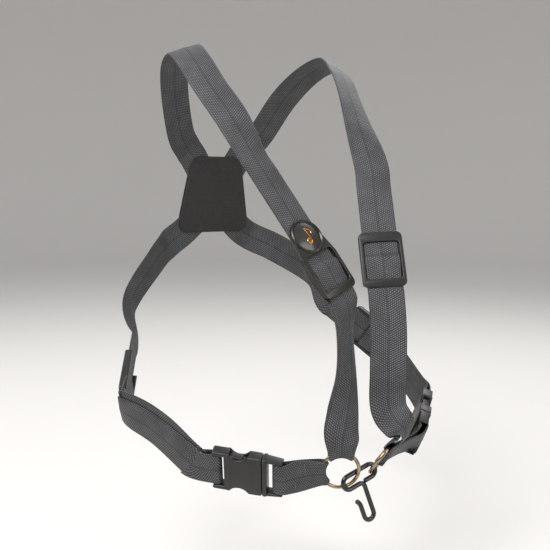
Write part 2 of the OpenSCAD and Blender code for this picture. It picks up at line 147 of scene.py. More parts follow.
@dataclass(frozen=True)
class Path:
    """Stations along a run of webbing: their places, their directions and the ways they face."""
    place: np.ndarray
    ahead: np.ndarray
    face: np.ndarray

    @classmethod
    def through(cls, rows: Sequence[Row], steps: int = 12) -> "Path":
        """Lay a smooth path through every row but the first and last, which only steer its ends.

        Args:
            rows: Rows of x, y, z and the way the webbing faces.
            steps: Stations between two rows.

        Returns:
            The path.
        """
        p = np.asarray(rows, float)
        t = (np.arange(steps) / steps)[:, None]
        runs = [0.5 * (2 * b + (c - a) * t + (2 * a - 5 * b + 4 * c - d) * t ** 2
                       + (3 * b - a - 3 * c + d) * t ** 3)
                for a, b, c, d in zip(p[:-3], p[1:-2], p[2:-1], p[3:])]
        c = np.vstack(runs + [p[-2:-1]])
        way = np.vstack([c[1:2, :3] - c[:1, :3], c[2:, :3] - c[:-2, :3], c[-1:, :3] - c[-2:-1, :3]])
        way /= np.linalg.norm(way, axis=1)[:, None]
        face = c[:, 3:] - (c[:, 3:] * way).sum(1)[:, None] * way
        return cls(c[:, :3], way, face / np.linalg.norm(face, axis=1)[:, None])

    def __len__(self) -> int:
        """Return the number of stations."""
        return len(self.place)

    def part(self, first: int, last: int) -> "Path":
        """Return the stations from first to last, both included."""
        s = slice(first, last + 1)
        return Path(self.place[s], self.ahead[s], self.face[s])

    def sunk(self, depth: np.ndarray | float) -> "Path":
        """Return the path moved against the way it faces."""
        d = np.broadcast_to(np.asarray(depth, float), (len(self),))[:, None]
        return Path(self.place - d * self.face, self.ahead, self.face)

    def turned(self) -> "Path":
        """Return the path run backwards, facing the other way."""
        return Path(self.place[::-1], -self.ahead[::-1], -self.face[::-1])

    def run(self) -> np.ndarray:
        """Return the length from the start to each station."""
        return lengths(self.place)

    def nearest(self, length: float) -> int:
        """Return the station whose length from the start is nearest to the one given."""
        return int(np.abs(self.run() - length).argmin())


# ---------------------------------------------------------------- outlines and meshes

def lengths(line: np.ndarray) -> np.ndarray:
    """Return the length from the start of a line to each of its points."""
    return np.concatenate([[0], np.cumsum(np.linalg.norm(np.diff(line, axis=0), axis=1))])


def rounded(points: Sequence[Row], radius: float, turns: int = 6) -> list[tuple[float, float]]:
    """Round every corner of a flat outline.

    Args:
        points: The corners, anticlockwise.
        radius: The length that each corner gives up on both of its sides.
        turns: Points on each rounded corner.

    Returns:
        The rounded outline.
    """
    p = np.asarray(points, float)
    out = []
    for a, b, c in zip(np.roll(p, 1, 0), p, np.roll(p, -1, 0)):
        near = min(radius, 0.48 * np.linalg.norm(a - b), 0.48 * np.linalg.norm(c - b))
        s, e = b + unit(a - b) * near, b + unit(c - b) * near
        out += [tuple((1 - t) ** 2 * s + 2 * t * (1 - t) * (0.75 * b + 0.125 * (s + e)) + t * t * e)
                for t in np.linspace(0, 1, turns)]
    return out


def rectangle(x0: float, x1: float, y0: float, y1: float) -> list[tuple[float, float]]:
    """Return the corners of an upright rectangle."""
    return [(x0, y0), (x1, y0), (x1, y1), (x0, y1)]


def arc(cx: float, cy: float, radius: float, start: float, end: float, n: int) -> list[tuple[float, float]]:
    """Return n points along an arc, with its angles in degrees."""
    return [(cx + radius * math.cos(math.radians(a)), cy + radius * math.sin(math.radians(a)))
            for a in np.linspace(start, end, n)]


@dataclass
class Mesh:
    """A growing mesh in millimetres, in a seat or in the harness's frame."""
    points: list = field(default_factory=list)
    faces: list = field(default_factory=list)
    uv: list = field(default_factory=list)

    def add(self, points: Iterable[Row], faces: Iterable[Sequence[int]],
            uv: Iterable[Row] | None = None) -> "Mesh":
        """Add points and the faces between them.

        Args:
            points: Places of the new points.
            faces: Faces by the index of the new points.
            uv: A flat place in millimetres for each new point.

        Returns:
            The mesh itself.
        """
        base = len(self.points)
        new = [tuple(float(v) for v in p) for p in points]
        self.points += new
        self.faces += [tuple(base + i for i in f) for f in faces]
        self.uv += [tuple(p) for p in uv] if uv is not None else [(p[0], p[1]) for p in new]
        return self

    def grid(self, loops: np.ndarray, uv: np.ndarray | None = None) -> "Mesh":
        """Add a tube of quads through equal loops of points, with its two ends closed.

        Args:
            loops: Rows of loops, each an array of points.
            uv: A flat place for each point of each loop.

        Returns:
            The mesh itself.
        """
        rows, m = loops.shape[:2]
        quads = [(i * m + j, i * m + (j + 1) % m, (i + 1) * m + (j + 1) % m, (i + 1) * m + j)
                 for i in range(rows - 1) for j in range(m)]
        quads += [tuple(range(m))[::-1], tuple((rows - 1) * m + j for j in range(m))]
        return self.add(loops.reshape(-1, 3), quads, None if uv is None else uv.reshape(-1, 2))

    def plate(self, outlines: Sequence[Sequence[Row]], z0: float, z1: float, bevel: float = 0.5) -> "Mesh":
        """Add a flat plate with rounded edges and any holes.

        Args:
            outlines: The outer outline, then one outline for each hole.
            z0: Height of its lower face.
            z1: Height of its upper face.
            bevel: Radius of its edges.

        Returns:
            The mesh itself.
        """
        curve = bpy.data.curves.new("plate", "CURVE")
        curve.dimensions = "2D"
        curve.fill_mode = "BOTH"
        b = min(bevel, (z1 - z0) / 2.02)
        curve.bevel_depth, curve.bevel_resolution, curve.offset = b, 3, -b
        curve.extrude = (z1 - z0) / 2 - b
        for line in outlines:
            spline = curve.splines.new("POLY")
            spline.points.add(len(line) - 1)
            spline.points.foreach_set("co", np.array([(x, y, 0, 1) for x, y in line], float).ravel())
            spline.use_cyclic_u = True
        obj = bpy.data.objects.new("plate", curve)
        made = bpy.data.meshes.new_from_object(obj)
        bm = bmesh.new()
        bm.from_mesh(made)
        bmesh.ops.remove_doubles(bm, verts=bm.verts, dist=1e-4)
        bmesh.ops.recalc_face_normals(bm, faces=bm.faces)
        bm.verts.index_update()
        self.add([(v.co.x, v.co.y, v.co.z + (z0 + z1) / 2) for v in bm.verts],
                 [[v.index for v in f.verts] for f in bm.faces])
        bm.free()
        bpy.data.objects.remove(obj)
        bpy.data.meshes.remove(made)
        bpy.data.curves.remove(curve)
        return self

    def tube(self, centres: np.ndarray, radii: Sequence[float] | float, sides: int = 20) -> "Mesh":
        """Add a round wire along a line of points.

        Args:
            centres: The line.
            radii: One radius, or one for each point.
            sides: Points round the wire.

        Returns:
            The mesh itself.
        """
        c = np.asarray(centres, float)
        r = np.broadcast_to(np.asarray(radii, float), (len(c),))
        way = np.gradient(c, axis=0)
        way /= np.linalg.norm(way, axis=1)[:, None]
        a = square_to((0.31, 0.12, 0.94) if abs(way[0][2]) < 0.9 else (1, 0.1, 0), way[0])
        loops = []
        for centre, w, radius in zip(c, way, r):
            a = square_to(a, w)
            b = np.cross(w, a)
            turn = np.linspace(0, 2 * math.pi, sides, endpoint=False)[:, None]
            loops.append(centre + radius * (np.cos(turn) * a + np.sin(turn) * b))
        return self.grid(np.array(loops))

    def placed(self, seat: Seat) -> "Mesh":
        """Return the mesh moved from a seat's frame into the harness's frame."""
        return Mesh([tuple(p) for p in seat.on(self.points)], self.faces, self.uv)

    def bent(self, y0: float, degrees: float) -> "Mesh":
        """Return the mesh folded backwards about the line across it at y0, by half the angle on each side."""
        out = []
        for x, y, z in self.points:
            turn = math.radians(degrees / 2) * math.tanh((y - y0) / 3.0)
            d = y - y0
            out.append((x, y0 + d * math.cos(turn) + z * math.sin(turn),
                        z * math.cos(turn) - d * math.sin(turn)))
        return Mesh(out, self.faces, self.uv)

    def piece(self, name: str, material: bpy.types.Material, slot: Slot, body: Body | str | None,
              replaces: Sequence[str] = (), smooth: float = 32.0) -> bpy.types.Object:
        """Turn the mesh into a visible piece of the harness.

        Args:
            name: The piece's name.
            material: Its finish.
            slot: The record's slot for its finish; not used.
            body: The body it rides on, or None to leave it unattached.
            replaces: Nodes that it stands for.
            smooth: Edges sharper than this many degrees stay sharp.

        Returns:
            The new object.
        """
        data = bpy.data.meshes.new(name)
        data.from_pydata([[v * MM for v in p] for p in self.points], [], self.faces)
        layer = data.uv_layers.new(name="flat")
        where = np.array([loop.vertex_index for loop in data.loops])
        layer.data.foreach_set("uv", np.asarray(self.uv, np.float32)[where].ravel())
        bm = bmesh.new()
        bm.from_mesh(data)
        bmesh.ops.recalc_face_normals(bm, faces=bm.faces)
        bm.to_mesh(data)
        bm.free()
        data.shade_smooth()
        data.set_sharp_from_angle(angle=math.radians(smooth))
        data.materials.append(material)
        obj = bpy.data.objects.new(name, data)
        bpy.context.scene.collection.objects.link(obj)
        if body is not None:
            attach(obj, body.value if isinstance(body, Body) else body)
        if replaces:
            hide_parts(*replaces)
        LOG.info("%s: %d faces", name, len(self.faces))
        return obj


# ---------------------------------------------------------------- finishes

Socket = bpy.types.NodeSocket
Inputs = dict[str, object]
Add = Callable[..., Socket]


def linear(hex_colour: str) -> tuple[float, float, float, float]:
    """Turn an sRGB hex colour into linear red, green, blue and alpha."""
    parts = [int(hex_colour[i:i + 2], 16) / 255 for i in (1, 3, 5)]
    return tuple(c / 12.92 if c <= 0.04045 else ((c + 0.055) / 1.055) ** 2.4 for c in parts) + (1.0,)


def feed(made: bpy.types.Node, inputs: dict[str | int, object]) -> None:
    """Give a node's inputs their numbers, colours or links."""
    for key, value in inputs.items():
        if isinstance(value, Socket):
            made.id_data.links.new(value, made.inputs[key])
        else:
            made.inputs[key].default_value = value


def node(tree: bpy.types.NodeTree, kind: str, *values: object, named: Inputs | None = None, out: int | str = 0,
         stops: Sequence[tuple[float, str]] = (), **settings: object) -> Socket:
    """Add a node with its settings and links.

    Args:
        tree: The node tree.
        kind: The node's type, after its ShaderNode prefix.
        values: Numbers or links for its first inputs, in order.
        named: Numbers, colours or links for inputs by name.
        out: The output to return.
        stops: Places and hex colours along a colour ramp.
        settings: Attributes of the node.

    Returns:
        The output.
    """
    made = tree.nodes.new("ShaderNode" + kind)
    for key, value in settings.items():
        setattr(made, key, value)
    feed(made, {**dict(enumerate(values)), **(named or {})})
    if stops:
        elements = made.color_ramp.elements
        while len(elements) < len(stops):
            elements.new(0.5)
        for element, (place, colour) in zip(elements, stops):
            element.position, element.color = place, linear(colour)
    return made.outputs[out]


def blank(name: str) -> tuple[bpy.types.Material, bpy.types.NodeTree, bpy.types.Node]:
    """Return a new material, its node tree and its shader."""
    material = bpy.data.materials.new(name)
    material.use_nodes = True
    return material, material.node_tree, material.node_tree.nodes["Principled BSDF"]


@dataclass(frozen=True)
class Finish:
    """What a surface is made of, and how it was made."""
    name: str = ""

    def look(self, add: Add) -> Inputs:
        """Return what the shader's inputs get, with any nodes added by the function given."""
        raise NotImplementedError

    def make(self) -> bpy.types.Material:
        """Return the material."""
        material, tree, shader = blank(self.name)
        feed(shader, self.look(partial(node, tree)))
        return material


@dataclass(frozen=True)
class PolyesterWebbing(Finish):
    """Polyester webbing, woven in a herringbone of two halves that meet at a raised spine.

    Shiny filaments on a black ground: grey glints painted in as highlights on the crowns of the yarns, and dark
    gaps between them painted in as shade.
    """
    name: str = "woven_polyester_webbing"
    yarn_mm: float = 1.7      # across the strap; the real yarn is 1.2 mm, drawn coarser so that it shows
    pick_mm: float = 1.9      # along the strap; the real pick is 1.3 mm, drawn coarser so that it shows
    wobble_per_mm: float = 0.35
    fibre_per_mm: float = 2.2     # broken filaments, about 0.5 mm apart
    patch_per_mm: float = 0.06    # worn and darker lengths, about 17 mm long
    # the gap colour is painted shade between the yarns, and the glint colour a painted highlight on their crowns
    gap: str = "#070708"
    yarn: str = "#18181a"
    painted_glint: str = "#74757a"

    def look(self, add: Add) -> Inputs:
        """Return the shader's inputs: rows of yarn with painted highlights on their crowns, painted shade in the
        gaps between them, and loose fibres.
        """
        uv = add("UVMap", uv_map="flat")
        side = add("Math", add("SeparateXYZ", uv), operation="ABSOLUTE")
        along = add("SeparateXYZ", uv, out=1)
        wobble = add("TexNoise", named={"Vector": uv, "Scale": self.wobble_per_mm, "Detail": 3.0})
        fibre = add("TexNoise", named={"Vector": uv, "Scale": self.fibre_per_mm, "Detail": 4.0, "Roughness": 0.7})
        patchy = add("TexNoise", named={"Vector": uv, "Scale": self.patch_per_mm, "Detail": 2.0})
        shift = add("Math", wobble, 1.6, -0.8, operation="MULTIPLY_ADD")
        slant = add("Math", side, math.pi / self.yarn_mm, shift, operation="MULTIPLY_ADD")
        pick = add("Math", along, 2 * math.pi / self.pick_mm, slant, operation="MULTIPLY_ADD")
        yarn = add("Math", side, 2 * math.pi / self.yarn_mm, operation="MULTIPLY")
        crown = add("Math", add("Math", pick, operation="SINE"), 0.5, 0.5, operation="MULTIPLY_ADD")
        row = add("Math", add("Math", yarn, operation="COSINE"), 0.5, 0.5, operation="MULTIPLY_ADD")
        height = add("Math", add("Math", crown, 0.7, operation="POWER"), add("Math", row, 0.5, operation="POWER"),
                     operation="MULTIPLY")
        # painted shadow: the tone darkens in a thin line along the spine crease
        spine = add("Math", add("Math", side, 1.1, operation="MULTIPLY"), 1.0, 0.2, operation="SMOOTH_MIN")
        painted_light_and_wear_tone = height
        for pattern, gain, base in ((fibre, 1.1, 0.1), (patchy, 0.8, 0.65), (spine, 0.35, 0.65)):
            painted_light_and_wear_tone = add("Math", painted_light_and_wear_tone, add("Math", pattern, gain, base, operation="MULTIPLY_ADD"),
                       operation="MULTIPLY")
        bump = add("Bump", named={"Height": height, "Strength": 0.7, "Distance": 0.0003})
        fuzz = add("Bump", named={"Height": fibre, "Strength": 0.25, "Distance": 0.0002, "Normal": bump})
        # the colour runs from painted shade in the gaps to painted highlights on the crowns of the yarns
        stops = ((0.05, self.gap), (0.28, self.yarn), (0.75, self.painted_glint))
        return {"Base Color": add("ValToRGB", painted_light_and_wear_tone, stops=stops),
                "Roughness": add("Math", fibre, 0.3, 0.45, operation="MULTIPLY_ADD"),
                "IOR": 1.57, "Sheen Weight": 0.04, "Sheen Roughness": 0.4, "Normal": fuzz}


@dataclass(frozen=True)
class MouldedPlastic(Finish):
    """Acetal, injection moulded in a spark-eroded tool: black, with broad soft highlights and a fine grain."""
    name: str = "moulded_black_acetal"
    base: str = "#131314"
    tint: str = "#1d1c1b"
    roughness: float = 0.36
    grain_mm: float = 0.5         # the real grain is 0.1 mm, drawn coarser so that it shows
    cloud_per_m: float = 60.0     # the black drifts over about 17 mm
    scuff_per_m: float = 260.0    # scuffs about 4 mm across

    def look(self, add: Add) -> Inputs:
        """Return the shader's inputs: a drifting black, scuffs in the gloss and a moulded grain."""
        place = add("TexCoord", out="Object")
        cloud = add("TexNoise", named={"Vector": place, "Scale": self.cloud_per_m, "Detail": 3.0})
        grain = add("TexNoise", named={"Vector": place, "Scale": 1 / (self.grain_mm * MM), "Detail": 2.0})
        scuff = add("TexNoise", named={"Vector": place, "Scale": self.scuff_per_m, "Detail": 6.0,
                                       "Roughness": 0.75})
        return {"Base Color": add("ValToRGB", cloud, stops=((0.3, self.base), (0.7, self.tint))),
                "Roughness": add("Math", scuff, 0.28, self.roughness - 0.12, operation="MULTIPLY_ADD"),
                "IOR": 1.48,
                "Normal": add("Bump", named={"Height": grain, "Strength": 0.12, "Distance": 0.0001})}


@dataclass(frozen=True)
class PlatedWire(Finish):
    """Steel wire, bent, butt welded and plated: a bright warm mirror with fine drawing lines and small stains."""
    name: str = "nickel_plated_steel_wire"
    base: str = "#a3957f"
    stain: str = "#7d5a3a"
    roughness: float = 0.2
    stain_per_m: float = 140.0    # stains about 7 mm across
    line_per_m: float = 1800.0    # drawing lines about 0.6 mm apart

    def look(self, add: Add) -> Inputs:
        """Return the shader's inputs: stained plating over drawn wire."""
        place = add("TexCoord", out="Object")
        cloud = add("TexNoise", named={"Vector": place, "Scale": self.stain_per_m, "Detail": 4.0})
        fine = add("TexNoise", named={"Vector": place, "Scale": self.line_per_m, "Detail": 2.0})
        return {"Base Color": add("ValToRGB", cloud, stops=((0.42, self.base), (0.68, self.stain))),
                "Roughness": add("Math", cloud, 0.2, self.roughness - 0.08, operation="MULTIPLY_ADD"),
                "Metallic": 1.0,
                "Normal": add("Bump", named={"Height": fine, "Strength": 0.06, "Distance": 0.0001})}


@dataclass(frozen=True)
class DipCoat(Finish):
    """Vinyl dip coat over wire: deep black, glossy, slightly wavy where the coat ran."""
    name: str = "dipped_black_vinyl"
    base: str = "#060606"
    worn: str = "#121213"
    run_per_m: float = 420.0      # runs in the coat, about 2.4 mm apart

    def look(self, add: Add) -> Inputs:
        """Return the shader's inputs: a coat with runs in it."""
        place = add("TexCoord", out="Object")
        run = add("TexNoise", named={"Vector": place, "Scale": self.run_per_m, "Detail": 2.0})
        return {"Base Color": add("ValToRGB", run, stops=((0.4, self.base), (0.75, self.worn))),
                "Roughness": add("Math", run, 0.25, 0.08, operation="MULTIPLY_ADD"),
                "IOR": 1.54, "Coat Weight": 0.15, "Coat Roughness": 0.1,
                "Normal": add("Bump", named={"Height": run, "Strength": 0.25, "Distance": 0.0003})}


@dataclass(frozen=True)
class DomedResin(Finish):
    """Polyurethane resin, poured into a dome over black: a wet-looking lens with a warm depth."""
    name: str = "poured_black_resin"
    base: str = "#0a0908"
    warm: str = "#241a10"
    cloud_per_m: float = 90.0     # warm clouds about 11 mm across

    def look(self, add: Add) -> Inputs:
        """Return the shader's inputs: warm clouds under a clear coat."""
        place = add("TexCoord", out="Object")
        cloud = add("TexNoise", named={"Vector": place, "Scale": self.cloud_per_m, "Detail": 2.0})
        return {"Base Color": add("ValToRGB", cloud, stops=((0.35, self.base), (0.75, self.warm))),
                "Roughness": add("Math", cloud, 0.1, 0.2, operation="MULTIPLY_ADD"),
                "IOR": 1.5, "Coat Weight": 0.5, "Coat Roughness": 0.12}


@dataclass(frozen=True)
class GiltLine(Finish):
    """Brass foil, stamped and lacquered: an amber line that dulls where it is thin."""
    name: str = "stamped_brass_foil"
    base: str = "#c98f45"
    dull: str = "#8a5a26"
    thin_per_m: float = 900.0     # thin spots about 1 mm across

    def look(self, add: Add) -> Inputs:
        """Return the shader's inputs: foil with thin spots."""
        place = add("TexCoord", out="Object")
        cloud = add("TexNoise", named={"Vector": place, "Scale": self.thin_per_m, "Detail": 3.0})
        return {"Base Color": add("ValToRGB", cloud, stops=((0.4, self.base), (0.7, self.dull))),
                "Roughness": add("Math", cloud, 0.3, 0.2, operation="MULTIPLY_ADD"), "Metallic": 1.0}


@dataclass(frozen=True)
class GrainLeather(Finish):
    """Full-grain leather, drum dyed black: pebbled cells with polished tops, and matt creases darkened with
    painted shade.
    """
    name: str = "dyed_grain_leather"
    base: str = "#0d0c0b"
    top: str = "#1d1a18"
    pebble_mm: float = 1.3
    cloud_per_m: float = 45.0     # the dye drifts over about 22 mm

    def look(self, add: Add) -> Inputs:
        """Return the shader's inputs: pebbles of unequal polish, with painted shade darkening the creases between
        them.
        """
        place = add("TexCoord", out="Object")
        cells = add("TexVoronoi", named={"Vector": place, "Scale": 1 / (self.pebble_mm * MM)},
                    feature="DISTANCE_TO_EDGE")
        cloud = add("TexNoise", named={"Vector": place, "Scale": self.cloud_per_m, "Detail": 5.0})
        # the colour darkens towards the cell edges: painted shade in the creases between the pebbles
        mixed = add("Math", add("MapRange", cells, 0.0, 0.22),
                    add("Math", cloud, 0.8, 0.5, operation="MULTIPLY_ADD"), operation="MULTIPLY")
        return {"Base Color": add("ValToRGB", mixed, stops=((0.1, self.base), (0.9, self.top))),
                "Roughness": add("Math", mixed, -0.25, 0.68, operation="MULTIPLY_ADD"), "IOR": 1.5,
                "Normal": add("Bump", named={"Height": mixed, "Strength": 0.45, "Distance": 0.0003})}


@dataclass(frozen=True)
class BondedThread(Finish):
    """Bonded polyester thread, twisted: a dark cord with visible turns, each with a painted highlight for its
    soft sheen.
    """
    name: str = "twisted_bonded_thread"
    base: str = "#2a2a2c"
    # the top colour is a painted highlight on the crown of each turn
    top: str = "#77777c"
    turn_per_m: float = 900.0     # one band for each turn of the thread

    def look(self, add: Add) -> Inputs:
        """Return the shader's inputs: bands of painted highlight along the twist."""
        place = add("TexCoord", out="Object")
        turn = add("TexWave", named={"Vector": place, "Scale": self.turn_per_m, "Distortion": 2.0}, out=1)
        return {"Base Color": add("ValToRGB", turn, stops=((0.2, self.base), (0.9, self.top))),
                "Roughness": add("Math", turn, 0.2, 0.45, operation="MULTIPLY_ADD")}


@dataclass(frozen=True)
class Finishes:
    """Every finish on the harness, made once."""
    webbing: bpy.types.Material
    plastic: bpy.types.Material
    olive: bpy.types.Material
    wire: bpy.types.Material
    dip: bpy.types.Material
    resin: bpy.types.Material
    gilt: bpy.types.Material
    leather: bpy.types.Material
    thread: bpy.types.Material

    @classmethod
    def make(cls) -> "Finishes":
        """Return the set of finishes."""
        olive = MouldedPlastic("moulded_olive_black_acetal", "#14130f", "#201e18", 0.26)
        return cls(PolyesterWebbing().make(), MouldedPlastic().make(), olive.make(), PlatedWire().make(),
                   DipCoat().make(), DomedResin().make(), GiltLine().make(), GrainLeather().make(),
                   BondedThread().make())


# ---------------------------------------------------------------- seats and routes, as in the frame

PATCH = Seat.facing((0, 92, -134), (0, -0.12, 1), (0, 1, 0.12))
RIGHT_RING = np.array((-23.4, -155.3, -344.4))
LEFT_RING = np.array((15.6, -160.3, -340.0))
RIGHT_RING_FACE = unit((-0.45, -0.87, -0.2))
LEFT_RING_FACE = unit((0.41, -0.7, -0.58))
RIGHT_RING_UP = Seat.facing(RIGHT_RING, square_to((0, 0, 1), RIGHT_RING_FACE), RIGHT_RING_FACE)
LEFT_RING_UP = Seat.facing(LEFT_RING, square_to((0.1, 0, 1), LEFT_RING_FACE), LEFT_RING_FACE)
RIGHT_RING_SIDE = Seat.facing(RIGHT_RING, square_to((-0.88, 0.47, -0.08), RIGHT_RING_FACE), RIGHT_RING_FACE)
LEFT_RING_SIDE = Seat.facing(LEFT_RING, square_to((0.83, 0.56, -0.08), LEFT_RING_FACE), LEFT_RING_FACE)
HOOK = Seat.facing((-6.5, -158.5, -352), (-0.31, 0.12, 0.95), (-0.06, -1, -0.03))
BADGE = Seat.facing((-27, -129, -176), (-0.36, 0.43, 0.83), (0.1, -0.9, 0.35))
PLAIN = Seat.facing((39, -130, -181), (0.175, 0.395, 0.9), (-0.5, -0.8, 0.3))
RIGHT_WAIST = Seat.facing((-133, 12, -292), (0.44, 0.69, 0.57), (-0.84, 0.54, 0))
LEFT_WAIST = Seat.facing((134, 4, -272), (-0.4, 0.71, 0.57), (0.88, 0.47, 0))
RIGHT_BUCKLE = Seat.facing((-64, -135, -349), (-0.7, 0.71, 0.09), (-0.56, -0.72, -0.4))
LEFT_BUCKLE = Seat.facing((62, -151, -334), (0.7, 0.67, 0.24), (0.5, -0.75, -0.4))
MALE_BAR_Y = 5.0
FEMALE_BAR_Y = 54.5
RING_R = 15.0
RING_WIRE = 3.0
BAR_D = 4.0


def bar_seat(buckle: Seat, y: float, away: float) -> Seat:
    """Return the seat of a buckle's bar, whose y points along the webbing that goes round it."""
    return Seat.facing(buckle.at(0, y), away * buckle.y, buckle.z)


def patched(x: float, y: float) -> list[float]:
    """Return a route row on the back patch."""
    return [*PATCH.at(x, y), *PATCH.z]


def through(seat: Seat, half: float, travel: float, bar_y: float, lead: float = 12) -> list[list[float]]:
    """Return route rows that run straight through a slide."""
    return [[*seat.at(0, y), *seat.z] for y in (half + travel + lead, half + travel, bar_y, -half, -half - 8)]


def arrival(seat: Seat, radius: float, wire: float, lead: float) -> list[list[float]]:
    """Return the last route rows before a ring or a bar."""
    rise = wire / 2 + Webbing.loose + Webbing.thick / 2
    return [[*seat.at(0, radius + y, rise * (0.8 if y > 0 else 1)), *seat.z] for y in (lead, 0, -lead)]


# ---------------------------------------------------------------- webbing

@dataclass
class Webbing:
    """One width of webbing and the ways it is laid, folded round wires and sewn."""
    material: bpy.types.Material
    thread: bpy.types.Material
    width: float = 30.0
    thick: float = 1.6
    lanes: int = 12
    wrap_half: float = 42.0
    gather: float = 22.0
    loose: float = 0.5
    ply_gap: float = 0.3

    def profile(self) -> np.ndarray:
        """Return the closed section: place across from -1 to 1, and height as a part of the thickness."""
        a = np.linspace(-0.965, 0.965, 2 * self.lanes + 1)
        top = np.stack([a, 0.5 - 0.14 * np.abs(a) ** 12], 1)
        spine = np.abs(a) < 0.04
        top[spine, 1] += 0.06
        return np.vstack([top, [[1.0, 0.22], [1.0, -0.22]], top[::-1] * (1, -1), [[-1.0, -0.22], [-1.0, 0.22]]])

    def laid(self, path: Path, ring: np.ndarray | None, crease: np.ndarray | float = 0.0) -> np.ndarray:
        """Lay the section at every station of a path.

        Args:
            path: The middle of the webbing.
            ring: The centre of the ring that the webbing gathers on, if any.
            crease: Fall of the webbing's edges behind its spine at each station.

        Returns:
            Loops of points.
        """
        p = self.profile()
        side = np.cross(path.ahead, path.face)
        g = np.zeros(len(path))
        sign = np.ones(len(path))
        if ring is not None:
            to_ring = ring - path.place
            g = fade((np.linalg.norm(to_ring, axis=1) - RING_R) / self.gather)
            sign = np.sign((to_ring * path.ahead).sum(1))
        turn = np.radians(self.wrap_half * p[:, 0])
        across = self.width / 2 * p[None, :, 0] * (1 - g[:, None]) + RING_R * np.sin(turn)[None] * g[:, None]
        drop = (sign * g)[:, None] * (RING_R * (1 - np.cos(turn)))[None]
        fall = np.broadcast_to(np.asarray(crease, float), (len(path),))[:, None] * (1 - g[:, None])
        rise = p[None, :, 1] * self.thick - fall * (np.abs(p[None, :, 0]) - 0.5)
        return (path.place[:, None] + across[..., None] * side[:, None] + rise[..., None] * path.face[:, None]
                + drop[..., None] * path.ahead[:, None])

    def wrapped(self, seat: Seat, start: float, end: float, radius: float, wire: float,
                turns: int = 12) -> np.ndarray:
        """Fold the webbing round a ring (radius above 0) or a straight bar.

        Args:
            seat: The ring's or bar's seat, whose y points at the webbing.
            start: Angle at which the fold starts, in degrees.
            end: Angle at which it ends.
            radius: The ring's radius, or 0 for a bar.
            wire: Diameter of the wire or bar.
            turns: Steps round it.

        Returns:
            Loops of points.
        """
        p = self.profile()
        side = -seat.x * math.copysign(1, end - start)
        b = np.radians(self.wrap_half * p[:, :1]) if radius else np.zeros((len(p), 1))
        out = seat.y * np.cos(b) + side * np.sin(b)
        lane = out * radius if radius else side * (self.width / 2 * p[:, :1])
        rise = wire / 2 + self.loose + (0.5 + p[:, 1:]) * self.thick
        angles = np.radians(np.linspace(start, end, turns + 1)[1:-1])
        return np.array([seat.origin + lane + (out * math.cos(a) + seat.z * math.sin(a)) * rise for a in angles])

    def band(self, name: str, runs: Sequence[np.ndarray], replaces: Sequence[str], body: Body | None,
             start: float = 0.0) -> bpy.types.Object:
        """Join runs of loops into one length of webbing.

        Args:
            name: The piece's name.
            runs: Loops of points, in order.
            replaces: Nodes that it stands for.
            body: The body it rides on, or None to leave it unattached.
            start: Length of webbing before this piece, which carries the weave on.

        Returns:
            The new piece.
        """
        loops = np.vstack(runs)
        return self.strip(loops, start + lengths(loops.mean(1))).piece(name, self.material, Slot.WEBBING, body,
                                                                       replaces, smooth=60)

    def strip(self, loops: np.ndarray, run: np.ndarray) -> Mesh:
        """Return a mesh through loops of points, with the weave laid out by the length run at each."""
        across = self.profile()[None, :, 0] * self.width / 2
        return Mesh().grid(loops, np.stack(np.broadcast_arrays(across, run[:, None]), -1))

    def stitches(self, name: str, seams: Sequence[tuple[Seat, Sequence[Row]]], body: Body, pitch: float = 3.0,
                 thread_r: float = 0.28) -> bpy.types.Object:
        """Sew lines of stitches.

        Args:
            name: The piece's name.
            seams: For each seam the seat it lies on and the corners of its line, with z at the surface.
            body: The body it rides on.
            pitch: Length of one stitch.
            thread_r: Radius of the thread.

        Returns:
            The new piece.
        """
        mesh = Mesh()
        for seat, corners in seams:
            for a, b in zip(corners[:-1], corners[1:]):
                a, b = np.asarray(a, float), np.asarray(b, float)
                n = max(1, round(np.linalg.norm(b - a) / pitch))
                for k in range(n):
                    s, e = a + (b - a) * (k + 0.12) / n, a + (b - a) * (k + 0.88) / n
                    line = [s + (e - s) * t + np.array((0, 0, thread_r * (0.9 * math.sin(math.pi * t) - 0.45)))
                            for t in np.linspace(0, 1, 5)]
                    mesh.tube(seat.on(line), thread_r * np.array((0.6, 1, 1, 1, 0.6)), sides=6)
        return mesh.piece(name, self.thread, Slot.WEBBING, body, smooth=80)


@dataclass
class Limb:
    """A strap from the patch through a slide, round a ring or a bar, and back as an inner ply."""
    webbing: Webbing
    side: str
    route: Sequence[Row]
    lead: int                 # rows before the slide
    slide: Body
    bar_back: float = 2.55
    run_gap: float = 0.25
    spread: float = 25.0
    slip: float = 0.0         # how far the inner ply has slipped sideways between its ends
    steps: int = 12

    def outer(self) -> Path:
        """Return the path of the outer ply."""
        return Path.through(self.route, self.steps)

    def inner(self, outer: Path, rise: float) -> Path:
        """Return the path of the inner ply, from the ring or bar up to the slide's centre bar.

        Args:
            outer: The path of the outer ply.
            rise: How far the webbing's middle stands off the wire that it goes round.

        Returns:
            The inner path.
        """
        path = outer.part((self.lead + 1) * self.steps, len(outer) - 1)
        two = self.webbing.thick + self.webbing.ply_gap
        behind = self.bar_back + self.run_gap + self.webbing.thick / 2
        to_end = np.linalg.norm(path.place - path.place[-1], axis=1)
        to_bar = np.linalg.norm(path.place - path.place[0], axis=1)
        depth = two + (2 * rise - two) * fade(to_end / self.spread) + (behind - two) * fade(to_bar / self.spread)
        free = (1 - fade(to_end / 60)) * (1 if self.slip > 0 else 1 - fade(to_bar / 18))
        sunk = path.sunk(depth)
        aside = np.cross(path.ahead, path.face) * (self.slip * free)[:, None]
        return Path(sunk.place + aside, path.ahead, path.face).turned()


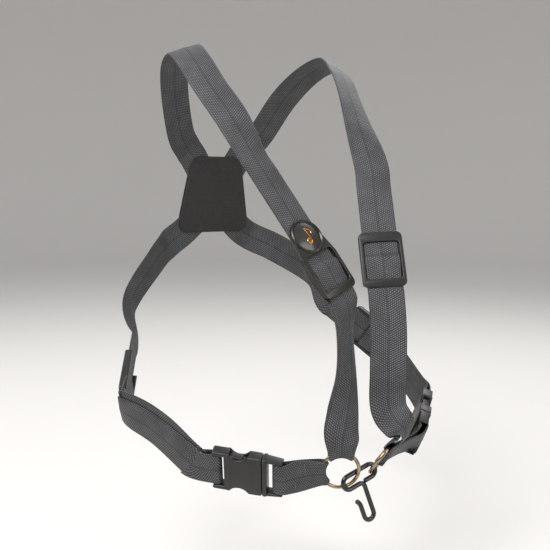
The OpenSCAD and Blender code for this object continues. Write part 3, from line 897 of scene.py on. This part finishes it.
@dataclass
class FrontLimb(Limb):
    """A shoulder strap down to its ring."""
    ring: Seat = RIGHT_RING_UP
    crease: float = 1.0
    own_ply: float = 62.0     # inner ply that stays with the strap

    def build(self) -> None:
        """Make the strap, its ring fold and its loop."""
        w = self.webbing
        outer = self.outer()
        rise = RING_WIRE / 2 + w.loose + w.thick / 2
        inner = self.inner(outer, rise)
        seam = inner.nearest(self.own_ply)
        length = outer.run()
        past_slide = np.clip((length - length[(self.lead + 2) * self.steps]) / 30, 0, 1)
        crease = 0.5 + self.crease * past_slide
        runs = [w.laid(outer, self.ring.origin, crease), w.wrapped(self.ring, 90, 270, RING_R, RING_WIRE),
                w.laid(inner.part(0, seam), self.ring.origin)]
        w.band(f"{self.side}_shoulder_webbing", runs, [f"{self.side}_shoulder_strap"], Body.HARNESS)
        loop = w.band(f"{self.side}_front_loop_webbing", [w.laid(inner.part(seam, len(inner) - 1), None)],
                      [f"{self.side}_front_loop"], None)
        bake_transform(loop)


@dataclass
class WaistLimb(Limb):
    """A waist strap from the patch to its buckle's female half."""
    bar: Seat = RIGHT_RING_UP
    female: Body = Body.RIGHT_FEMALE

    def build(self) -> None:
        """Make the strap, its fold round the buckle's bar and its inner ply."""
        w = self.webbing
        outer = self.outer()
        rise = BAR_D / 2 + w.loose + w.thick / 2
        inner = self.inner(outer, rise)
        last = len(outer) - 1
        near = outer.nearest(outer.run()[-1] - 45)
        w.band(f"{self.side}_waist_webbing", [w.laid(outer.part(0, near), None, 0.5)],
               [f"{self.side}_waist_strap"], Body.HARNESS)
        middle = inner.nearest(55)
        runs = [w.laid(outer.part(near, last), None, 0.5), w.wrapped(self.bar, 90, 270, 0, BAR_D),
                w.laid(inner.part(0, middle), None)]
        fold = w.band(f"{self.side}_waist_fold_webbing", runs, [f"{self.side}_waist_loop"], None,
                      start=outer.run()[near])
        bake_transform(fold)
        back = w.laid(inner.part(middle, len(inner) - 1), None)
        loop = w.band(f"{self.side}_waist_loop_webbing", [back], [], None)
        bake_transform(loop)


@dataclass
class BeltTab:
    """A short closed band of webbing between a ring and a male buckle, sewn where its ends meet."""
    webbing: Webbing
    side: str
    ring: Seat
    bar: Seat

    def build(self) -> None:
        """Make the band and its stitches."""
        w = self.webbing
        start = self.ring.at(0, RING_R)
        rows = [(self.ring, RING_R - 10), (self.ring, RING_R), (self.ring, RING_R + 6), (self.bar, 6),
                (self.bar, 0), (self.bar, -10)]
        mid = Path.through([[*seat.at(0, y), *seat.z] for seat, y in rows])
        ring_rise = RING_WIRE / 2 + w.loose + w.thick / 2
        bar_rise = BAR_D / 2 + w.loose + w.thick / 2
        half = (w.thick + w.ply_gap) / 2
        reach = np.linalg.norm(start - self.bar.origin) / 2
        from_ring = np.linalg.norm(mid.place - mid.place[0], axis=1)
        from_bar = np.linalg.norm(mid.place - mid.place[-1], axis=1)
        gap = half + (ring_rise - half) * fade(from_ring / reach) + (bar_rise - half) * fade(from_bar / reach)
        inner = mid.sunk(gap)
        cut = len(mid) // 2
        runs = [w.laid(inner.part(0, cut).turned(), self.ring.origin),
                w.wrapped(self.ring, 270, 90, RING_R, RING_WIRE), w.laid(mid.sunk(-gap), self.ring.origin, 0.4),
                w.wrapped(self.bar, 90, 270, 0, BAR_D),
                w.laid(inner.part(cut, len(mid) - 1).turned(), self.ring.origin)]
        w.band(f"{self.side}_belt_tab_webbing", runs, [f"{self.side}_belt_tab"], Body.HARNESS)
        ahead, face = mid.ahead[cut], mid.face[cut]
        seat = Seat(mid.place[cut] + face * (half + w.thick / 2), np.cross(ahead, face), ahead, face)
        lines = [(seat, [(-12, y, 0.1), (12, y, 0.1)]) for y in (-4.5, 4.5)]
        w.stitches(f"{self.side}_belt_tab_stitches", lines, Body.HARNESS, pitch=2.4)


# ---------------------------------------------------------------- hard parts

@dataclass
class BackPatch:
    """Two leather layers with the four strap ends sewn between them."""
    finishes: Finishes
    webbing: Webbing
    layer_t: float = 1.6
    seam_gap: float = 0.2     # between the leather and the webbing

    def outline(self, inset: float = 0.0) -> list[tuple[float, float]]:
        """Return the patch's outline, moved in by inset."""
        k = inset
        corners = [(42 - k, -32 + k), (28 - k, 46 - k), (-28 + k, 46 - k), (-42 + k, -32 + k)]
        return rounded(corners, 11)

    def build(self) -> None:
        """Make both layers and the seams."""
        w = self.webbing
        z = w.thick / 2 + self.seam_gap
        for name, z0 in (("back_patch_outer", z), ("back_patch_inner", -z - self.layer_t)):
            mesh = Mesh().plate([self.outline()], z0, z0 + self.layer_t, 0.6)
            mesh.placed(PATCH).piece(f"{name}_leather", self.finishes.leather, Slot.LEATHER, Body.HARNESS, [name])
        top = z + self.layer_t
        rim = [(x, y, top + 0.05) for x, y in self.outline(3.5)]
        boxes = (((7, 20), (23, 18), (27, 36), (8, 38), (23, 18)),
                 ((7, -8), (20, -4), (33, -18), (24, -27), (7, -8)))
        seams = [(PATCH, rim + rim[:1])]
        seams += [(PATCH, [(s * x, y, top + 0.05) for x, y in box]) for s in (-1, 1) for box in boxes]
        w.stitches("back_patch_stitches", seams, Body.HARNESS, pitch=3.2, thread_r=0.34)


@dataclass
class Slide:
    """A frame with one window: end bars in front of the webbing and a centre bar behind it."""
    finishes: Finishes
    webbing: Webbing
    name: str
    body: Body
    seat: Seat
    width: float = 37.0
    length: float = 49.0
    low: float = 7.0          # end bar nearer the ring
    high: float = 9.0         # end bar further from it
    bar_y: float = 0.0
    front_z: float = 1.05
    bar_front: float = 3.0
    bar_back: float = 2.55
    arch: float = 2.3         # rise of the webbing over the centre bar
    bend: float = 8.0

    def outline(self) -> list[tuple[float, float]]:
        """Return the outline of the front of the frame."""
        h = self.length / 2
        return rounded(rectangle(-self.width / 2, self.width / 2, -h, h), 4.5)

    def rail_top(self) -> float:
        """Return how far the rails reach from the centre."""
        return self.length / 2

    def window(self) -> tuple[float, float]:
        """Return where the window starts and ends."""
        return -self.length / 2 + self.low, self.length / 2 - self.high

    def material(self) -> bpy.types.Material:
        """Return the frame's finish."""
        return self.finishes.plastic

    def frame(self) -> Mesh:
        """Return the frame's mesh in its seat."""
        y0, y1 = self.window()
        inner = self.webbing.width / 2 + 0.3
        hole = rounded(rectangle(-inner, inner, y0, y1), 2.6)
        top = self.front_z + self.bar_front
        mesh = Mesh().plate([self.outline(), hole], self.front_z, top, 0.8)
        h, rail = self.length / 2, self.webbing.width / 2 + 0.4
        for s in (-1, 1):
            x0, x1 = sorted((s * rail, s * (self.width / 2 - 0.15)))
            rail_plan = rounded(rectangle(x0, x1, -h + 2.2, self.rail_top() - 2.2), 1.2)
            mesh.plate([rail_plan], -self.bar_back, top - 0.8, 0.6)
        bar = rounded(rectangle(-self.width / 2 + 1, self.width / 2 - 1, self.bar_y - 2.5, self.bar_y + 2.5), 0.8)
        mesh.plate([bar], -self.bar_back, -self.bar_back + 1.5, 0.6)
        return mesh

    def hump(self) -> Mesh:
        """Return the webbing that arches over the centre bar, in its seat."""
        y0, y1 = self.window()
        ys = np.linspace(y0 - 3, y1 + 3, 60)
        away = ys - self.bar_y - 1
        lift = 0.12 + self.arch * fade(np.abs(away) / np.where(away > 0, 5.0, self.bar_y - y0 + 4))
        place = np.stack([0 * ys, ys, lift], 1)[::-1]
        way = np.gradient(place, axis=0)
        way /= np.linalg.norm(way, axis=1)[:, None]
        face = np.cross(way, np.array((-1.0, 0, 0)))
        face *= np.sign(face[:, 2:3])
        return self.webbing.strip(self.webbing.laid(Path(place, way, face), None, 0.5), lengths(place))

    def build(self) -> None:
        """Make the frame and the webbing that shows in its window."""
        mesh = self.frame().bent(self.bar_y, self.bend)
        mesh.placed(self.seat).piece(f"{self.name}_frame", self.material(), Slot.PLASTIC, self.body, [self.name])
        self.hump().placed(self.seat).piece(f"{self.name}_webbing_arch", self.finishes.webbing, Slot.WEBBING,
                                            self.body, smooth=60)


@dataclass
class BadgeSlide(Slide):
    """The slide whose round-ended plate carries a domed badge."""
    length: float = 68.0
    bar_y: float = -10.0
    badge_y: float = 18.5
    badge_r: float = 12.5
    rim_r: float = 15.5
    dome_h: float = 2.0
    bend: float = 6.0

    def outline(self) -> list[tuple[float, float]]:
        """Return the outline of the front: square at the bottom, narrowing to a round end."""
        h, w = self.length / 2, self.width / 2
        bottom = rounded([(-w, 0), (-w, -h), (w, -h), (w, 0)], 4.5)[6:18]
        side = math.degrees(math.asin(0.16))
        return bottom + [(w, -2)] + arc(0, self.badge_y, self.rim_r, -side, 180 + side, 40) + [(-w, -2)]

    def rail_top(self) -> float:
        """Return how far the rails reach from the centre."""
        return 6.0

    def window(self) -> tuple[float, float]:
        """Return where the window starts and ends."""
        return -self.length / 2 + self.low, self.badge_y - self.badge_r - 3

    def material(self) -> bpy.types.Material:
        """Return the frame's finish."""
        return self.finishes.olive

    def build(self) -> None:
        """Make the frame, the dome with its rim and the emblem."""
        super().build()
        base = self.front_z + self.bar_front
        rings = []
        for r, z in ((self.rim_r - 0.2, -0.4), (self.rim_r - 0.3, 0.5), (self.rim_r - 0.9, 1.1),
                     (self.rim_r - 1.5, 1.15), (self.rim_r - 2.1, 0.7), (self.badge_r + 0.25, -0.1),
                     (self.badge_r, -0.4)):
            rings.append([(x, y, base + z) for x, y in arc(0, self.badge_y, r, 0, 360 * 71 / 72, 72)])
        rim = Mesh().grid(np.array(rings)).bent(self.bar_y, self.bend)
        rim.placed(self.seat).piece("badge_rim", self.finishes.olive, Slot.PLASTIC, self.body)
        dome = Mesh().grid(np.array([self.cap(r, base) for r in np.linspace(self.badge_r, 0.4, 16)]))
        dome.bent(self.bar_y, self.bend).placed(self.seat).piece(
            "badge_dome_resin", self.finishes.resin, Slot.BADGE, self.body, ["badge_dome"])
        self.emblem(base).bent(self.bar_y, self.bend).placed(self.seat).piece(
            "badge_note", self.finishes.gilt, Slot.EMBLEM, self.body, ["badge_emblem"])

    def cap(self, r: float, base: float) -> list[tuple[float, float, float]]:
        """Return one ring of the dome at a radius."""
        return [(x, y, base + self.dome_z(r)) for x, y in arc(0, self.badge_y, r, 0, 360 * 71 / 72, 72)]

    def dome_z(self, r: float) -> float:
        """Return the dome's height at a radius."""
        big = (self.badge_r ** 2 + self.dome_h ** 2) / (2 * self.dome_h)
        return self.dome_h - big + math.sqrt(max(0.0, big * big - r * r))

    def emblem(self, base: float) -> Mesh:
        """Return a note drawn in a raised line on the dome, with a ring round it."""
        mesh = Mesh()
        stem = [(-0.2, -4.6), (-0.2, 0), (-0.2, 7.0), (1.2, 5.6), (3.4, 4.2), (4.3, 2.4), (3.6, 0.6)]
        head = arc(-2.3, -4.6, 2.1, 0, 360, 24)
        for line, r in ((stem, 0.5), (head, 0.75)):
            line = np.asarray(line, float)
            fine = np.concatenate([line[i] + (line[i + 1] - line[i]) * np.linspace(0, 1, 5)[:-1, None]
                                   for i in range(len(line) - 1)] + [line[-1:]])
            pts = [(x, self.badge_y + y, base + self.dome_z(math.hypot(x, y)) + 0.02) for x, y in fine]
            mesh.tube(np.array(pts), r, sides=10)
        return mesh


@dataclass
class Buckle:
    """A side-release buckle: a male half with two sprung arms in a hollow female half."""
    finishes: Finishes
    side: str
    seat: Seat
    female_body: Body
    upper: int                # which way along x is up
    width: float = 38.0
    thick: float = 10.0
    mouth: float = 17.0
    length: float = 58.0
    slot: float = 47.6        # where the webbing's slot begins
    rail: float = 15.6

    def bar(self, y: float) -> np.ndarray:
        """Return the line of a bar across the buckle."""
        end = self.rail + 0.6
        return np.array([(x, y, 0) for x in np.linspace(-end, end, 6)])

    def male(self) -> Mesh:
        """Return the male half in its seat."""
        h, b = self.thick / 2, self.mouth - 3.5
        mesh = Mesh()
        for s in (-1, 1):
            side = [(s * self.rail, 0.4), (s * (self.rail + 1.6), 0.2), (s * self.width / 2, b),
                    (s * self.width / 2, b + 2), (s * self.rail, b + 2)]
            mesh.plate([rounded(side[::s], 0.7)], -h + 1, h - 1, 0.8)
        wall = rounded(rectangle(-self.width / 2, self.width / 2, b - 0.6, self.mouth - 0.3), 1.2)
        mesh.plate([wall], -h, h, 1.0)
        mesh.tube(self.bar(MALE_BAR_Y), BAR_D / 2, 24)
        mesh.plate([rounded(rectangle(-3.5, 3.5, b, b + 25), 1)], -1.6, 1.6, 0.5)
        return mesh

    def shell(self) -> list[tuple[float, float]]:
        """Return the outline of the female half's two faces, with a scallop on each side."""
        w, end = self.width / 2, self.length
        right = [(w - 0.6, self.mouth), (w, self.mouth + 2), (w, 27)]
        scallop = arc(w + 4.4, 36, 9.0, 180 + 60, 180 - 60, 13)
        right += [p for p in scallop if p[0] < w] + [(w, 45), (w, end - 5), (w - 1.2, end - 1), (w - 3, end)]
        return rounded(right + [(-x, y) for x, y in right[::-1]], 1.2, 4)

    def female(self) -> Mesh:
        """Return the female half in its seat."""
        h = self.thick / 2
        mesh = Mesh()
        body = [p for p in self.shell() if p[1] <= self.slot]
        for s in (-1, 1):
            z0, z1 = sorted((s * h, s * (h - 2.2)))
            mesh.plate([body], z0, z1, 0.9)
        wall = rounded(rectangle(-self.width / 2 + 0.2, self.width / 2 - 0.2, 43.6, 48), 1.2)
        mesh.plate([wall], -h + 0.5, h - 0.5, 0.8)
        for s in (-1, 1):
            x0, x1 = sorted((s * 14.9, s * (self.width / 2 - 0.15)))
            mesh.plate([rounded(rectangle(x0, x1, self.mouth, 28), 1.0)], -h + 0.4, h - 0.4, 0.8)
            x0, x1 = sorted((s * self.rail, s * self.width / 2))
            mesh.plate([rounded(rectangle(x0, x1, 44, self.length), 1.4)], -h + 0.3, h - 0.3, 1.0)
        mesh.tube(self.bar(FEMALE_BAR_Y), BAR_D / 2, 24)
        return mesh

    def arm(self, s: int) -> Mesh:
        """Return the arm on one side, in the buckle's seat."""
        outer = [(13.3, 18.7), (14.3, 24), (14.3, 32.8), (15.1, 33), (15.4, 36), (16.1, 40), (16.4, 43),
                 (15.4, 44.3)]
        inner = [(13, 44.3), (12, 43), (11.6, 31), (10.6, 24), (10.3, 19.5), (11.5, 17.6)]
        line = [(s * x, y) for x, y in outer + inner]
        return Mesh().plate([rounded(line[::s], 0.7, 4)], -3.0, 3.0, 0.7)

    def build(self) -> None:
        """Make both halves and the two arms."""
        plastic = self.finishes.plastic
        name = f"{self.side}_buckle"
        self.male().placed(self.seat).piece(f"{name}_male_half", plastic, Slot.PLASTIC, Body.HARNESS,
                                            [f"{name}_male"])
        self.female().placed(self.seat).piece(f"{name}_female_half", plastic, Slot.PLASTIC, self.female_body,
                                              [f"{name}_female"])
        for s in (-1, 1):
            which = "upper" if s == self.upper else "lower"
            self.arm(s).placed(self.seat).piece(f"{name}_{which}_arm_spring", plastic, Slot.PLASTIC,
                                                f"{name}_{which}_arm", [f"{name}_{which}_arm"])


@dataclass
class Ring:
    """A welded wire ring."""
    material: bpy.types.Material
    name: str
    seat: Seat
    body: Body
    weld_at: float            # angle of the weld, in degrees

    def build(self) -> None:
        """Make the ring with its weld bead."""
        n, m = 120, 24
        loops = []
        for k in range(n):
            a = 2 * math.pi * k / n
            off = (math.degrees(a) - self.weld_at + 180) % 360 - 180
            r = RING_WIRE / 2 * (1 + 0.05 * math.exp(-(off / 4) ** 2))
            c = np.array((math.cos(a), math.sin(a), 0))
            loops.append([c * (RING_R + r * math.cos(b)) + np.array((0, 0, r * math.sin(b)))
                          for b in np.linspace(0, 2 * math.pi, m, endpoint=False)])
        quads = [(i * m + j, i * m + (j + 1) % m, ((i + 1) % n) * m + (j + 1) % m, ((i + 1) % n) * m + j)
                 for i in range(n) for j in range(m)]
        mesh = Mesh().add(np.array(loops).reshape(-1, 3), quads)
        mesh.placed(self.seat).piece(f"{self.name}_wire", self.material, Slot.RING, self.body, [self.name])


@dataclass
class WireHook:
    """A hook bent from one wire: a long loop for the rings, a shank, a bend and a curled tip."""
    material: bpy.types.Material
    wire: float = 3.9
    half: float = 5.4
    reach: float = 10.5
    shank: float = 23.0
    bend: float = 4.6
    neck_r: float = 4.0
    neck_x: float = 2.0
    gate: float = 2.0
    rise: float = 9.0
    curl_r: float = 9.0
    curl: float = 38.0

    def line(self) -> np.ndarray:
        """Return the wire's centre line in the hook's plane."""
        top = -self.half - self.neck_r
        end = top - self.shank
        tip = self.neck_x - 2 * self.bend
        pts = [(self.neck_x + self.gate, -self.half), (self.reach, -self.half)]
        pts += arc(self.reach, 0, self.half, -90, 90, 25)[1:]
        pts += arc(-self.reach, 0, self.half, 90, 270, 25)
        pts += arc(self.neck_x - self.neck_r, top, self.neck_r, 90, 0, 12)
        pts += arc(self.neck_x - self.bend, end, self.bend, 0, -180, 25)
        pts += arc(tip - self.curl_r, end + self.rise, self.curl_r, 0, self.curl, 10)
        p = np.asarray(pts, float)
        run = lengths(p)
        s = np.linspace(0, run[-1], 220)
        return np.stack([np.interp(s, run, p[:, 0]), np.interp(s, run, p[:, 1]), 0 * s], 1)

    def build(self) -> None:
        """Make the wire with rounded ends."""
        line = self.line()
        r = self.wire / 2
        ends = np.linspace(0, 1, 6)[1:]
        first, last = line[0], line[-1]
        d0, d1 = unit(line[0] - line[1]), unit(line[-1] - line[-2])
        cap0 = [first + d0 * r * 0.7 * math.sin(t * math.pi / 2) for t in ends][::-1]
        cap1 = [last + d1 * r * 0.7 * math.sin(t * math.pi / 2) for t in ends]
        round_r = [r * max(0.1, math.cos(t * math.pi / 2)) for t in ends]
        radii = round_r[::-1] + [r] * len(line) + round_r
        mesh = Mesh().tube(np.vstack([cap0, line, cap1]), radii, sides=24)
        mesh.placed(HOOK).piece("hook_wire_form", self.material, Slot.HOOK, Body.HOOK, ["hook"])


# ---------------------------------------------------------------- surroundings

@dataclass(frozen=True)
class SoftLight:
    """A square light: where it stands round the harness, in degrees and millimetres, and how strong it is."""
    azimuth: float
    elevation: float
    distance: float
    size: float
    watts: float


LIGHTS = {"key": SoftLight(-62, 42, 1500, 700, 22), "fill": SoftLight(25, 18, 1600, 1000, 9),
          "rim": SoftLight(120, 45, 1500, 900, 10), "back": SoftLight(-150, 40, 1600, 900, 8)}


@dataclass
class Studio:
    """A camera, soft lights and a pale floor that sweeps up into a wall."""
    target: tuple[float, float, float] = (0.0, -24.0, -201.0)
    azimuth: float = -33.0
    elevation: float = 6.0
    distance: float = 750.0
    field: float = 37.6
    floor_z: float = -470.0
    floor_flat: float = 3200.0      # radius of the flat floor
    floor_sweep: float = 1400.0     # radius of the sweep up to the wall
    wall_top: float = 3600.0
    floor_sides: int = 96

    def direction(self, azimuth: float, elevation: float) -> Vector:
        """Return the direction from the target at an azimuth and an elevation."""
        a, e = math.radians(azimuth), math.radians(elevation)
        return Vector((math.sin(a) * math.cos(e), -math.cos(a) * math.cos(e), math.sin(e)))

    def camera(self) -> None:
        """Place the camera."""
        data = bpy.data.cameras.new("camera")
        data.angle = math.radians(self.field)
        data.clip_start = 0.01
        obj = bpy.data.objects.new("camera", data)
        self.aimed(obj, self.direction(self.azimuth, self.elevation), self.distance)
        bpy.context.scene.camera = obj

    def light(self, name: str, lamp: SoftLight) -> None:
        """Add a square soft light that faces the harness."""
        data = bpy.data.lights.new(name, "AREA")
        data.energy, data.size = lamp.watts, lamp.size * MM
        self.aimed(bpy.data.objects.new(name, data), self.direction(lamp.azimuth, lamp.elevation), lamp.distance)

    def aimed(self, obj: bpy.types.Object, way: Vector, distance: float) -> None:
        """Put a camera or light at a distance from the target and turn it to face it."""
        bpy.context.scene.collection.objects.link(obj)
        obj.location = Vector(self.target) * MM + way * distance * MM
        obj.rotation_euler = way.to_track_quat("Z", "Y").to_euler()

    def sweep(self) -> None:
        """Make a round floor whose edge sweeps up into a wall on every side."""
        flat, sweep, top, n = self.floor_flat, self.floor_sweep, self.wall_top, self.floor_sides
        profile = [(r, 0.0) for r in (1.0, 800.0, 1600.0, 2400.0, flat)]
        profile += [(flat + sweep * math.sin(a), sweep * (1 - math.cos(a)))
                    for a in np.linspace(0.1, math.pi / 2, 14)] + [(flat + sweep, top)]
        points = [(r * math.cos(2 * math.pi * k / n), r * math.sin(2 * math.pi * k / n), self.floor_z + h)
                  for r, h in profile for k in range(n)]
        faces = [(i * n + k, (i + 1) * n + k, (i + 1) * n + (k + 1) % n, i * n + (k + 1) % n)
                 for i in range(len(profile) - 1) for k in range(n)] + [tuple(range(n))]
        data = bpy.data.meshes.new("floor")
        data.from_pydata([[v * MM for v in p] for p in points], [], faces)
        data.shade_smooth()
        material, _, shader = blank("matt_white_paper")
        shader.inputs["Base Color"].default_value = linear("#d2d0cd")
        shader.inputs["Roughness"].default_value = 0.9
        data.materials.append(material)
        obj = bpy.data.objects.new("floor", data)
        bpy.context.scene.collection.objects.link(obj)

    def build(self) -> None:
        """Set up the whole studio."""
        self.camera()
        self.sweep()
        for name, lamp in LIGHTS.items():
            self.light(name, lamp)
        world = bpy.data.worlds.new("world")
        world.use_nodes = True
        world.node_tree.nodes["Background"].inputs[0].default_value = linear("#f2f2f4")
        world.node_tree.nodes["Background"].inputs[1].default_value = 0.8
        bpy.context.scene.world = world
        bpy.context.scene.view_settings.view_transform = "Standard"


# ---------------------------------------------------------------- the harness

def front_limbs(webbing: Webbing) -> list[FrontLimb]:
    """Return the two shoulder straps, which cross in the patch and mirror each other over the shoulders."""
    right, left = (
        [patched(-s * 9, 10), patched(-s * 15.5, 26.5), patched(-s * 26, 44), patched(-s * 33, 53),
         [s * 46, 76, -66, s * 0.15, 0.93, 0.35], [s * 62, 55, -30, s * 0.25, 0.8, 0.6],
         [s * 74, 28, -7, s * 0.3, 0.35, 0.9], [s * 80, 0, 0, s * 0.35, -0.15, 0.93]] for s in (-1, 1))
    right += [[-82, -24, -13, -0.35, -0.55, 0.75], [-79, -46, -36, -0.3, -0.75, 0.6],
              [-71, -68, -63, -0.25, -0.85, 0.45],
              *through(BADGE, 34, 40, -10, 25)[:-1], [-13, -147.5, -213, 0.22, -0.9, 0.3],
              [-13, -150, -233, 0.5, -0.85, 0.1], [-15, -155, -268, 0.4, -0.9, 0], [-20, -157, -298, 0, -1, 0],
              *arrival(RIGHT_RING_UP, RING_R, RING_WIRE, 14)]
    left += [[75, -24, -13, 0.3, -0.5, 0.8], [68, -46, -35, 0.25, -0.65, 0.7], [61, -68, -62, 0, -0.8, 0.5],
             *through(PLAIN, 24.5, 40, 0, 25),
             [29, -151, -238, -0.55, -0.8, 0.05], [24, -157, -270, -0.55, -0.8, 0],
             [22, -161, -300, -0.4, -0.9, 0], *arrival(LEFT_RING_UP, RING_R, RING_WIRE, 14)]
    return [FrontLimb(webbing, "right", right, 11, Body.BADGE_SLIDE, ring=RIGHT_RING_UP, crease=3.0, slip=3.5),
            FrontLimb(webbing, "left", left, 11, Body.PLAIN_SLIDE, ring=LEFT_RING_UP, crease=0.5)]


def waist_limbs(webbing: Webbing) -> list[WaistLimb]:
    """Return the two waist straps."""
    right_bar, left_bar = (bar_seat(buckle, FEMALE_BAR_Y, 1) for buckle in (RIGHT_BUCKLE, LEFT_BUCKLE))
    right, left = ([patched(-s * 5, -5), patched(-s * 16.5, -15), patched(-s * 34, -31)] for s in (-1, 1))
    right += [patched(50, -43), [-72, 82, -192, -0.4, 0.9, 0.1], [-108, 64, -230, -0.65, 0.75, 0],
              *through(RIGHT_WAIST, 24.5, 20, 0), [-134, -42, -321, -1, 0, -0.1],
              [-121, -78, -338, -0.8, -0.55, -0.25], *arrival(right_bar, 0, BAR_D, 18)]
    left += [patched(-50, -40), [72, 82, -186, 0.4, 0.9, 0.1], [110, 60, -214, 0.65, 0.75, 0],
             *through(LEFT_WAIST, 24.5, 20, 0), [136, -48, -298, 1, -0.1, -0.1],
             [123, -88, -314, 0.8, -0.55, -0.25], *arrival(left_bar, 0, BAR_D, 18)]
    return [WaistLimb(webbing, "right", right, 6, Body.RIGHT_WAIST_SLIDE, bar=right_bar,
                      female=Body.RIGHT_FEMALE, slip=-7.0),
            WaistLimb(webbing, "left", left, 6, Body.LEFT_WAIST_SLIDE, bar=left_bar, female=Body.LEFT_FEMALE)]


def main() -> None:
    """Build the studio and every piece of the harness."""
    logging.basicConfig(level=logging.INFO, format="%(name)s %(message)s")
    Studio().build()
    finishes = Finishes.make()
    webbing = Webbing(finishes.webbing, finishes.thread)
    parts = [*front_limbs(webbing), *waist_limbs(webbing),
             BeltTab(webbing, "right", RIGHT_RING_SIDE, bar_seat(RIGHT_BUCKLE, MALE_BAR_Y, -1)),
             BeltTab(webbing, "left", LEFT_RING_SIDE, bar_seat(LEFT_BUCKLE, MALE_BAR_Y, -1)),
             BackPatch(finishes, webbing),
             BadgeSlide(finishes, webbing, "badge_slide", Body.BADGE_SLIDE, BADGE),
             Slide(finishes, webbing, "plain_slide", Body.PLAIN_SLIDE, PLAIN),
             Slide(finishes, webbing, "right_waist_slide", Body.RIGHT_WAIST_SLIDE, RIGHT_WAIST),
             Slide(finishes, webbing, "left_waist_slide", Body.LEFT_WAIST_SLIDE, LEFT_WAIST),
             Buckle(finishes, "right", RIGHT_BUCKLE, Body.RIGHT_FEMALE, 1),
             Buckle(finishes, "left", LEFT_BUCKLE, Body.LEFT_FEMALE, -1),
             Ring(finishes.wire, "right_ring", RIGHT_RING_UP, Body.RIGHT_RING, 120),
             Ring(finishes.wire, "left_ring", LEFT_RING_UP, Body.LEFT_RING, 60),
             WireHook(finishes.dip)]
    for part in parts:
        part.build()


if __name__ == "__main__":
    main()
